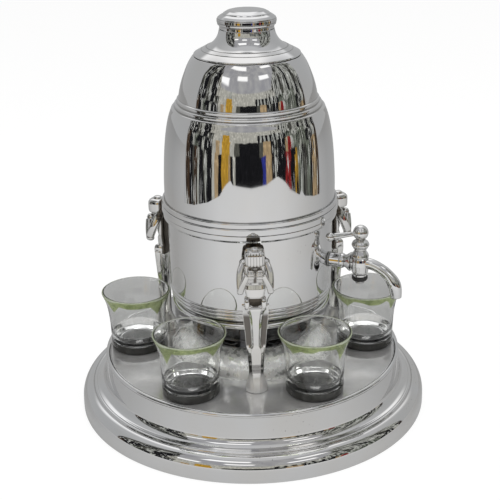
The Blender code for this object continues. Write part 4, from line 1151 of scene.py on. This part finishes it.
@dataclass
class Tap:
    """The tap: a pipe from the tank, a body with a drooping spout, and a key with a finial and a lever.

    Args:
        azimuth: Degrees from the front.
        reach: Distance of the key's axis from the decanter's axis, in millimetres.
        height: Height of the waterway.
        wall: Outer radius of the tank at the tap.
        lever_turn: Degrees that the lever is turned from straight inwards.
        spout: Rows of place out, place up and radius along the spout, about the key.
    """

    azimuth: float = 68.0
    reach: float = 85.8
    height: float = 120.5
    wall: float = 61.75
    lever_turn: float = 37.2
    spout: tuple[Corner, ...] = (
        (2.2, 0.1, 4.3), (7.2, -0.1, 4.1), (12.7, -1.8, 4.05), (18.2, -4.9, 4.15), (23.1, -9.6, 4.5),
        (26.0, -14.5, 5.0), (27.2, -19.0, 4.65), (27.75, -24.2, 4.1),
    )

    def body_shells(self) -> list[Surface]:
        """Returns the collar with its cone, the round valve body, and the spout with its open mouth."""
        collar = along_x(turned(rounded_line([
            (1.9, -15.1, 0.0), (5.2, -15.1, 0.4), (5.55, -14.2, 0.8), (5.5, -12.6, 0.8), (4.5, -11.5, 0.25),
            (5.0, -10.2, 2.0), (7.15, -7.3, 0.3), (7.15, -6.85, 0.15), (4.4, -6.7, 0.2), (4.2, -3.7, 0.0),
            (1.9, -3.7, 0.0),
        ]), 72))
        valve = turned(rounded_line([
            (3.6, -10.2, 0.0), (5.0, -10.2, 0.25), (5.1, -8.6, 0.3), (5.7, -7.6, 0.5), (6.2, -6.4, 0.8),
            (6.55, -1.5, 3.0), (6.45, 1.6, 2.0), (6.1, 3.6, 0.6), (5.55, 4.5, 0.25), (3.6, 4.5, 0.0),
        ]), 96)
        rows = smooth_line(self.spout, 60)
        path = np.stack([rows[:, 0], np.zeros(60), rows[:, 1]], axis=1)
        run = (path[-1] - path[-2]) / np.linalg.norm(path[-1] - path[-2])
        lip = np.array([path[-1] - run * 0.05, path[-1] - run * 4.5, path[-1] - run * 4.6])
        path = np.vstack([path, lip])
        size = np.concatenate([rows[:, 2], [2.0, 1.95, 0.4]])
        return [collar, valve, self.tube(path, size)]

    def tube(self, path: np.ndarray, size: np.ndarray) -> Surface:
        """Returns a round tube whose last rows turn back inside its own mouth.

        The rings are square to the path's run, which is held from the last outer row on, so that the mouth's
        inner rows stay parallel to it.
        """
        run = np.gradient(path, axis=0)
        run[-4:] = run[-5]
        run /= np.linalg.norm(run, axis=1, keepdims=True)
        side = np.broadcast_to(np.array([0.0, 1.0, 0.0]), run.shape)
        up = np.cross(run, side)
        angles = circle(56)
        round_y, round_z = np.cos(angles)[None, :, None], np.sin(angles)[None, :, None]
        rings = path[:, None] + size[:, None, None] * (side[:, None] * round_y + up[:, None] * round_z)
        return capped(rings)

    def key_shells(self) -> list[Surface]:
        """Returns the plug inside the body and the finial above it: bell, bulb and ball."""
        finial = joined(
            rounded_line([
                (0.0, -3.0, 0.0), (3.3, -3.0, 0.0), (3.3, 4.7, 0.1), (6.3, 4.8, 0.3), (6.45, 5.7, 0.5),
                (5.9, 7.4, 1.5), (4.4, 9.6, 0.4), (4.1, 10.1, 0.1), (4.45, 10.55, 0.25), (5.4, 12.1, 1.5),
                (6.75, 14.4, 2.0), (5.7, 16.7, 1.6), (3.7, 18.1, 0.2), (3.2, 18.6, 0.12), (3.5, 19.1, 0.1),
            ]),
            bead(0.0, 23.7, 5.7, -52.0, 90.0, 30)[:-1],
            np.array([[0.0, 29.4]]),
        )
        return [turned(finial, 96, closed=False)]

    def lever_shells(self) -> list[Surface]:
        """Returns the lever: a taper from the finial's ball to a small ball, laid level and turned."""
        rod = joined(
            rounded_line([(0.0, 3.0, 0.0), (1.7, 3.0, 0.0), (1.75, 9.0, 0.0), (2.1, 16.0, 9.0),
                          (2.4, 20.6, 0.3), (2.15, 21.2, 0.1)]),
            bead(0.0, 24.0, 3.25, -58.0, 90.0, 20)[:-1],
            np.array([[0.0, 27.25]]),
        )
        return [along_x(turned(rod, 48, closed=False)).moved(270.0 + self.lever_turn, 0.0, 23.4)]

    def build(self) -> None:
        """Makes the tap's seen pieces in place of their CAD nodes."""
        back = self.wall - self.reach
        pipe = along_x(turned(rounded_line([
            (1.9, -33.8, 0.0), (3.7, -33.8, 0.3), (3.7, back + 1.4, 0.0), (5.2, back + 1.4, 0.25),
            (5.25, -15.4, 0.2), (1.9, -15.4, 0.0),
        ]), 72))
        washer = turned(rounded_line([(1.9, -13.7, 0.0), (5.1, -13.7, 0.9), (5.95, -12.2, 0.7),
                                      (5.85, -10.5, 0.25), (1.9, -10.5, 0.0)]), 72)
        stand, key = Body.STAND.value, Body.TAP_KEY.value
        for name, shells, finish, body, node in (
                ("tap_pipe", [pipe], SPUN_CHROME, stand, "tap_shank"),
                ("tap_valve", self.body_shells(), TAP_CHROME, stand, "tap_body"),
                ("tap_finial", self.key_shells(), TAP_CHROME, key, "tap_key"),
                ("tap_handle", self.lever_shells(), TAP_CHROME, key, "tap_lever"),
                ("tap_collar_black", [washer], FIBRE_BLACK, key, "tap_washer")):
            placed = merged(shells).moved(self.azimuth, self.reach, self.height)
            add_piece(name, placed, finish, body, node)


@dataclass
class Glassware:
    """Six flared glasses, each on a black foot.

    Args:
        ring_radius: Distance of each glass from the decanter's axis, in millimetres.
        first_azimuth: Where the first glass stands, in degrees from the front.
        count: How many stand round the ring.
        foot: Height of the black foot's underside.
        foot_height: How tall the black foot is.
        seat_gap: Room between the foot and the glass.
        band_depth: Depth of the tinted band under the lip, and how much deeper its points of painted
            refraction run.
        outside: Points of the outside from the foot to the lip.
        inside: Points of the inside from the lip down the wall.
        bottom: Corners of the inside from there to the axis, with their fillets.
    """

    ring_radius: float = 89.2
    first_azimuth: float = -32.0
    count: int = 6
    foot: float = 42.3
    foot_height: float = 6.0
    seat_gap: float = 0.3
    band_depth: tuple[float, float] = (6.6, 12.0)
    outside: Knots = ((20.9, 49.6), (21.15, 58.0), (21.75, 68.0), (22.8, 76.0),
                                                (24.5, 82.8), (26.1, 86.9))
    inside: Knots = (
        (24.4, 87.4), (22.9, 82.0), (21.3, 75.0), (20.4, 68.0), (19.8, 60.0),
    )
    bottom: tuple[Corner, ...] = ((19.4, 55.5, 3.5), (13.2, 49.5, 3.0), (6.0, 49.45, 3.0), (0.0, 49.4, 0.0))

    def cup_line(self) -> np.ndarray:
        """Returns the glass: outside, fire-rounded lip, and a thin wall that slopes in to a flat bottom."""
        low = self.foot + self.foot_height + self.seat_gap
        start = rounded_line([(0.0, low, 0.0), (20.3, low, 0.6), (20.9, low + 0.7, 0.5),
                              self.outside[0] + (0.0,)])
        lip = rounded_line([self.outside[-1] + (0.0,), (26.75, 88.7, 1.1), (24.55, 88.95, 1.1),
                            self.inside[0] + (0.0,)], steps=10)
        bottom = rounded_line([self.inside[-1] + (0.0,), *self.bottom], steps=10)
        return joined(start, smooth_line(self.outside, 40), lip, smooth_line(self.inside, 36), bottom)

    def cup(self, azimuth: float) -> Surface:
        """Returns the turned glass for one place on the plinth.

        Its groove value rises from 0 to 1 up the outside of the band. The band runs down to a point at every
        diagonal of the plinth, as 1 less the angle from that diagonal over 16 degrees. These points are
        painted refraction: they stand in for the olive lip seen through the wall.

        Args:
            azimuth: Where the glass will stand, in degrees.

        Returns:
            The surface, about its own axis.
        """
        shell = turned(self.cup_line(), 160, closed=False)
        x, y, z = shell.points.T
        outer = np.interp(z, [68.0, 78.0, 82.8, 86.9], [21.0, 22.5, 24.0, 25.4])
        # Painted refraction: the band's points at the plinth's diagonals stand in for the olive lip seen
        # through the wall.
        aside = np.abs(np.mod(np.degrees(np.arctan2(y, x)) + azimuth, 90.0) - 45.0)
        depth = self.band_depth[0] + self.band_depth[1] * np.clip(1.0 - aside / 16.0, 0.0, 1.0)
        shell.groove = np.clip(1.0 - (88.9 - z) / depth, 0.0, 1.0) * (np.hypot(x, y) > outer)
        return shell

    def foot_line(self) -> np.ndarray:
        """Returns the black foot: a disc with a softened lower edge."""
        low, high = self.foot, self.foot + self.foot_height
        return rounded_line([(0.0, low, 0.0), (20.2, low, 0.7), (20.9, low + 1.0, 0.8), (20.9, high, 0.3),
                             (0.0, high, 0.0)])

    def build(self) -> None:
        """Makes six glasses and their feet in place of their CAD nodes."""
        base = turned(self.foot_line(), 96, closed=False)
        for number in range(1, self.count + 1):
            azimuth = self.first_azimuth + (number - 1) * 360.0 / self.count
            body = f"glass_{number}"
            cup = self.cup(azimuth).moved(azimuth, self.ring_radius)
            foot = base.moved(azimuth, self.ring_radius)
            add_piece(f"tumbler_{number}", cup, CLEAR_GLASS, body, body)
            add_piece(f"tumbler_base_{number}", foot, BLACK_GLOSS, body, f"glass_foot_{number}")


@dataclass
class HiddenFasteners:
    """The stud, nuts, washers, screws and seals, which keep their CAD shapes and get their finishes.

    Args:
        finishes: Node names and what each is made of.
    """

    finishes: dict[str, Finish] = field(default_factory=lambda: {
        "centre_stud": BRASS, "centre_nut": BRASS, "tap_nut": BRASS,
        "tap_gasket": GREY_RUBBER, "tap_seal": RUBBER,
        "tap_screw": STEEL, "centre_washer": STEEL, "knob_screw": STEEL, "knob_washer": STEEL,
        "figure_front_screw": STEEL, "figure_front_washer": STEEL, "figure_left_screw": STEEL,
        "figure_left_washer": STEEL, "figure_right_screw": STEEL, "figure_right_washer": STEEL,
    })

    def build(self) -> None:
        """Gives each node its finish."""
        for name, finish in self.finishes.items():
            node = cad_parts[name]
            if not node.material_slots:
                node.data.materials.append(finish.material())
            for place in node.material_slots:
                place.material = finish.material()
            log.info("%s: %s", name, finish.name)


# Studio


Row = tuple[tuple[float, Colour], ...]

ROW_REACH = 110.0
DARK = (0.014, 0.014, 0.016)
BROWN = (0.085, 0.055, 0.035)
SMOKE = (0.11, 0.11, 0.095)
GREEN_GREY = (0.21, 0.23, 0.19)
PALE = (0.50, 0.51, 0.47)
CREAM = (0.60, 0.59, 0.53)
TAN = (0.52, 0.38, 0.22)
YELLOW = (0.62, 0.36, 0.05)
RED = (0.34, 0.03, 0.03)
BLUE = (0.04, 0.05, 0.30)

LOW_ROW: Row = (
    (-110.0, BROWN), (-88.0, DARK), (-83.0, SMOKE), (-80.0, BROWN), (-75.0, PALE), (-73.0, DARK),
    (-66.0, SMOKE), (-62.0, PALE), (-60.0, DARK), (-53.0, CREAM), (-49.0, TAN), (-43.0, DARK),
    (-39.0, YELLOW), (-30.0, TAN), (-27.0, DARK), (-24.0, CREAM), (-20.0, DARK), (15.0, BLUE), (19.0, TAN),
    (28.0, DARK), (31.0, PALE), (33.0, DARK), (46.0, RED), (55.0, DARK), (61.0, YELLOW), (65.0, GREEN_GREY),
    (71.0, PALE), (73.0, SMOKE), (80.0, GREEN_GREY), (86.0, DARK), (90.0, TAN), (99.0, BROWN),
)
MIDDLE_ROW: Row = (
    (-110.0, BROWN), (-90.0, DARK), (-84.0, PALE), (-81.0, GREEN_GREY), (-74.0, DARK), (-68.0, PALE),
    (-65.0, DARK), (-53.0, CREAM), (-48.0, TAN), (-42.0, CREAM), (-39.0, YELLOW), (-28.0, CREAM),
    (-21.0, SMOKE), (-15.0, DARK), (12.0, SMOKE), (17.0, TAN), (27.0, DARK), (31.0, PALE), (34.0, SMOKE),
    (37.0, DARK), (48.0, TAN), (52.0, RED), (56.0, PALE), (60.0, GREEN_GREY), (70.0, PALE),
    (73.0, GREEN_GREY), (82.0, DARK), (86.0, PALE), (89.0, DARK), (94.0, PALE), (99.0, BROWN),
)
HIGH_ROW: Row = (
    (-110.0, DARK), (-88.0, PALE), (-86.0, DARK), (-79.0, SMOKE), (-72.0, PALE), (-68.0, DARK),
    (-62.0, PALE), (-60.0, SMOKE), (-52.0, CREAM), (-38.0, YELLOW), (-29.0, CREAM), (-20.0, CREAM),
    (10.0, DARK), (12.5, PALE), (15.0, DARK), (18.0, PALE), (20.5, DARK), (24.0, PALE), (26.5, DARK),
    (30.0, PALE), (33.0, DARK), (36.0, PALE), (39.0, DARK), (42.0, PALE), (46.0, DARK), (50.0, GREEN_GREY),
    (60.0, PALE), (68.0, GREEN_GREY), (80.0, PALE), (86.0, DARK), (92.0, PALE), (98.0, DARK),
)
TOP_ROW: Row = (
    (-110.0, SMOKE), (-90.0, PALE), (-88.0, DARK), (-80.0, SMOKE), (-74.0, PALE), (-70.0, DARK),
    (-58.0, CREAM), (-34.0, PALE), (-30.0, CREAM), (44.0, PALE), (56.0, SMOKE), (62.0, PALE), (72.0, DARK),
    (76.0, PALE), (88.0, SMOKE), (95.0, PALE),
)


@dataclass
class Studio:
    """A pale floor, soft lamps, a surround of grey cloth and coloured panels for the mirrors, and the camera.

    Only the camera itself sees white paper. Mirrors and glass see the floor and the cloth in grey, and in
    front an opening with upright coloured panels under a pale top with white sheets of light.

    Args:
        camera_place: Where the camera stands, in metres.
        pitch: Degrees between straight down and the line of sight.
        turn: Degrees that the camera is turned about the vertical.
        roll: Degrees that it is rolled clockwise.
        lens: Focal length in millimetres on a 36 mm sensor.
        paper_white: How brightly the camera's own white of the paper glows.
        white_share: How much of the paper that the camera sees is that white.
        opening: First and last azimuth of the opening in the cloth, in degrees.
        rows: The upright panels: the elevation in degrees where each row starts, and its colours.
        top_edge: Elevation where the pale top starts at each azimuth, in degrees.
        sheets: White sheets of light: middle azimuth and elevation, half width and half height in degrees.
        paper_edge: How far the paper reaches at each azimuth, in metres.
        paper_glow: How bright mirrors see the paper at each azimuth: painted light, brighter in front than at
            the back.
    """

    camera_place: tuple[float, float, float] = (-0.02692, -0.77093, 0.4301)
    pitch: float = 68.11
    turn: float = -1.968
    roll: float = 1.00
    lens: float = 78.43
    paper_white: float = 1.09
    white_share: float = 0.78
    opening: tuple[float, float] = (-94.8, 104.0)
    rows: tuple[tuple[float, Row], ...] = (
        (-90.0, LOW_ROW), (-1.0, MIDDLE_ROW), (8.0, HIGH_ROW), (16.0, TOP_ROW),
    )
    top_edge: Knots = (
        (-100.0, 66.0), (-74.0, 62.0), (-58.0, 44.0), (-52.0, 25.0), (-20.0, 23.0), (40.0, 24.0),
        (52.0, 38.0), (70.0, 60.0), (110.0, 66.0),
    )
    sheets: tuple[tuple[float, float, float, float], ...] = (
        (-26.0, 58.0, 21.0, 5.5), (49.0, 57.0, 14.0, 4.0), (-12.0, 36.0, 10.0, 3.4), (31.0, 36.0, 10.0, 3.4),
        (-47.0, 31.0, 9.0, 3.4),
    )
    paper_edge: Knots = (
        (-100.0, 0.55), (-76.0, 0.57), (-56.0, 0.66), (-40.0, 0.80), (-26.0, 1.07), (-23.0, 0.97),
        (0.0, 0.93), (20.0, 0.97), (34.0, 1.13), (50.0, 0.84), (64.0, 0.72), (67.0, 0.78), (72.0, 0.68),
        (88.0, 0.62), (110.0, 0.60),
    )
    paper_glow: Knots = (
        (-180.0, 0.19), (-120.0, 0.20), (-80.0, 0.34), (-40.0, 0.52), (0.0, 0.57), (40.0, 0.52), (80.0, 0.34),
        (120.0, 0.20), (180.0, 0.19),
    )

    def build(self) -> None:
        """Sets the camera, the floor, the lamps and the world."""
        self.set_camera()
        self.lay_floor()
        self.hang_lamps()
        self.light_surround()
        bpy.context.scene.view_settings.view_transform = "Standard"

    def graded(self, graph: Graph, azimuth: Signal, table: Knots) -> Signal:
        """Returns a value read off a table of azimuth in degrees and value, straight between its rows."""
        start, span = table[0][0], table[-1][0] - table[0][0]
        peak = max(value for _, value in table)
        stops = [((place - start) / span, (value / peak,) * 3) for place, value in table]
        return graph.split(graph.ramp(azimuth * (1.0 / span) - start / span, stops))[0] * peak

    def set_camera(self) -> None:
        """Points the camera as the photograph's was."""
        data = bpy.data.cameras.new("camera")
        data.sensor_width = 36.0
        data.lens = self.lens
        data.clip_start = 0.01
        camera = bpy.data.objects.new("camera", data)
        turn = Matrix.Rotation(math.radians(self.turn), 4, "Z")
        turn = turn @ Matrix.Rotation(math.radians(self.pitch), 4, "X")
        turn = turn @ Matrix.Rotation(math.radians(-self.roll), 4, "Z")
        camera.matrix_world = Matrix.Translation(self.camera_place) @ turn
        bpy.context.scene.collection.objects.link(camera)
        bpy.context.scene.camera = camera

    def lay_floor(self) -> None:
        """Lays a pale sheet that shows white to the camera and grey to mirrors and glass.

        In the opening's azimuths the sheet ends, for mirrors, at the paper's edge.
        """
        half = 3.0
        corners = [(-half, -half, 0.0), (half, -half, 0.0), (half, half, 0.0), (-half, half, 0.0)]
        mesh = bpy.data.meshes.new("floor")
        mesh.from_pydata(corners, [], [(0, 1, 2, 3)])
        material = bpy.data.materials.new("paper_floor")
        material.use_nodes = True
        graph = Graph(material.node_tree)
        place = graph.out("ShaderNodeTexCoord", "Object")
        x, y, _ = graph.split(place)
        azimuth = graph.azimuth(x, y)
        reach = graph.out("ShaderNodeVectorMath", "Value", {0: place}, operation="LENGTH")
        paper = graph.node("ShaderNodeBsdfDiffuse", {"Color": (0.80, 0.80, 0.795)})
        white = graph.node("ShaderNodeEmission", {"Color": (1.0, 1.0, 1.0), "Strength": self.paper_white})
        share = graph.ray("Camera") * self.white_share
        seen = graph.node("ShaderNodeMixShader", {0: share, 1: paper, 2: white})
        dull = graph.node("ShaderNodeBsdfDiffuse", {"Color": (0.23, 0.23, 0.23)})
        # Painted light and shadow for mirrors: the paper's glow follows the azimuth table and is dimmed to
        # 0.72 near the decanter as a painted shadow.
        strength = (reach.step(0.13, 0.36) * 0.28 + 0.72) * self.graded(graph, azimuth, self.paper_glow)
        glow = graph.node("ShaderNodeEmission", {"Color": (1.0, 1.0, 1.0), "Strength": strength})
        grey = graph.node("ShaderNodeAddShader", {0: dull, 1: glow})
        top = graph.node("ShaderNodeMixShader", {0: graph.mirrored(), 1: seen, 2: grey})
        past = reach.maths("GREATER_THAN", self.graded(graph, azimuth, self.paper_edge))
        start, end = self.opening
        ahead = azimuth.maths("COMPARE", (start + end) / 2.0, (end - start) / 2.0)
        gone = graph.node("ShaderNodeBsdfTransparent")
        out = graph.node("ShaderNodeMixShader", {0: past * ahead * graph.ray("Glossy"), 1: top, 2: gone})
        graph.node("ShaderNodeOutputMaterial", {"Surface": out})
        mesh.materials.append(material)
        floor = bpy.data.objects.new("floor", mesh)
        bpy.context.scene.collection.objects.link(floor)

    def hang_lamps(self) -> None:
        """Hangs soft area lamps overhead and at both sides."""
        lamps = (("overhead", (0.1, -0.2, 1.7), 0.9, 9.0), ("left", (-1.5, -0.7, 1.2), 0.8, 5.0),
                 ("right", (1.5, -0.5, 1.1), 0.8, 4.0))
        for name, place, size, power in lamps:
            data = bpy.data.lights.new(name, "AREA")
            data.size = size
            data.energy = power
            lamp = bpy.data.objects.new(name, data)
            lamp.location = place
            lamp.rotation_euler = (-lamp.location).to_track_quat("-Z", "Y").to_euler()
            lamp.visible_glossy = False
            bpy.context.scene.collection.objects.link(lamp)

    def light_surround(self) -> None:
        """Gives the world a surround that only mirrors and glass see; the camera sees plain white.

        A direction is split into azimuth and elevation in degrees. The opening in the grey cloth shows the
        rows of panels, and above them the pale top with its sheets of light.
        """
        world = bpy.data.worlds.new("studio")
        world.use_nodes = True
        bpy.context.scene.world = world
        graph = Graph(world.node_tree)
        x, y, z = graph.split(graph.out("ShaderNodeTexCoord", "Generated"))
        azimuth = graph.azimuth(x, y)
        elevation = z.maths("ARCSINE").maths("DEGREES")
        cloth = graph.blend(elevation.step(25.0, 80.0), (0.475, 0.48, 0.485), (0.62, 0.625, 0.64))
        behind = abs(azimuth).step(140.0, 158.0) * elevation.step(28.0, 36.0) * elevation.step(80.0, 70.0)
        cloth = graph.blend(behind, cloth, (1.15, 1.15, 1.16))
        panels = self.panel_colour(graph, azimuth, elevation)
        above = elevation - self.graded(graph, azimuth, self.top_edge)
        front = graph.blend(above.step(-1.0, 1.0), panels, self.top_colour(graph, azimuth, elevation))
        start, end = self.opening
        inside = azimuth.step(start - 0.8, start + 0.8) * azimuth.step(end + 0.8, end - 0.8)
        seen = graph.blend(inside * elevation.step(76.0, 64.0), cloth, front)
        plain = graph.blend(graph.ray("Diffuse"), (1.0, 1.0, 1.0), (0.62, 0.62, 0.62))
        background = graph.node("ShaderNodeBackground", {"Color": graph.blend(graph.mirrored(), plain, seen)})
        graph.node("ShaderNodeOutputWorld", {"Surface": background})

    def panel_colour(self, graph: Graph, azimuth: Signal, elevation: Signal) -> Signal:
        """Returns the rows of upright panels, one above the other, with edges that wobble.

        The outer panels, away from the middle, also carry fine upright glints and dark gaps, where a noise
        stretched in height is over or under a threshold. A stretched grain and flecks shade all panels.
        """
        spot = graph.vector(azimuth, elevation * 0.6)
        wobble = graph.noise(spot, 0.11) - 0.5
        share = (wobble * 5.0 + azimuth) * (1.0 / (2.0 * ROW_REACH)) + 0.5
        lift = wobble * 4.0 + elevation
        colour: Any = None
        for start, row in self.rows:
            stops = [((first + ROW_REACH) / (2.0 * ROW_REACH), tone) for first, tone in row]
            level = graph.ramp(share, stops, stepped=True)
            colour = graph.blend(lift.step(start - 0.4, start + 0.4), colour, level) if colour else level
        thin = graph.vector(azimuth, elevation * 0.16)
        streak = graph.noise(thin, 0.62)
        outer = abs(azimuth + 12.0).step(39.0, 43.0)
        colour = graph.blend(streak.step(0.47, 0.42) * outer, colour, DARK)
        colour = graph.blend(streak.step(0.60, 0.66) * outer, colour, (0.86, 0.87, 0.84))
        grain = graph.noise(thin, 0.9, 4.0).step(0.35, 0.65)
        fleck = graph.noise(spot, 0.5, 5.0).step(0.52, 0.70)
        shade = grain * 0.35 + fleck * 0.45 + 0.62
        return graph.out("ShaderNodeVectorMath", "Vector", {0: colour, "Scale": shade}, operation="SCALE")

    def top_colour(self, graph: Graph, azimuth: Signal, elevation: Signal) -> Signal:
        """Returns the pale, smeared top with its sheets of light, which have soft edges."""
        lit: Any = 0.0
        for across, up, half_width, half_height in self.sheets:
            aside = abs(azimuth - across).step(half_width + 1.6, half_width - 1.6)
            over = abs(elevation - up).step(half_height + 1.0, half_height - 1.0)
            lit = (aside * over).maths("MAXIMUM", lit)
        smear = graph.noise(graph.vector(azimuth, elevation), 0.09, 5.0).step(0.35, 0.70)
        top = graph.blend(smear, (0.36, 0.36, 0.385), (0.50, 0.50, 0.50))
        return graph.blend(lit, top, (1.35, 1.35, 1.35))


def main() -> None:
    """Builds the studio and every sub-assembly."""
    logging.basicConfig(level=logging.INFO, format="%(name)s: %(message)s")
    Studio().build()
    Plinth().build()
    Tank().build()
    Lid().build()
    CastFigure().build({"figure_front": 0.0, "figure_right": 117.0, "figure_left": -117.0})
    Tap().build()
    Glassware().build()
    HiddenFasteners().build()
    bpy.context.view_layer.update()


if __name__ == "__main__":
    main()
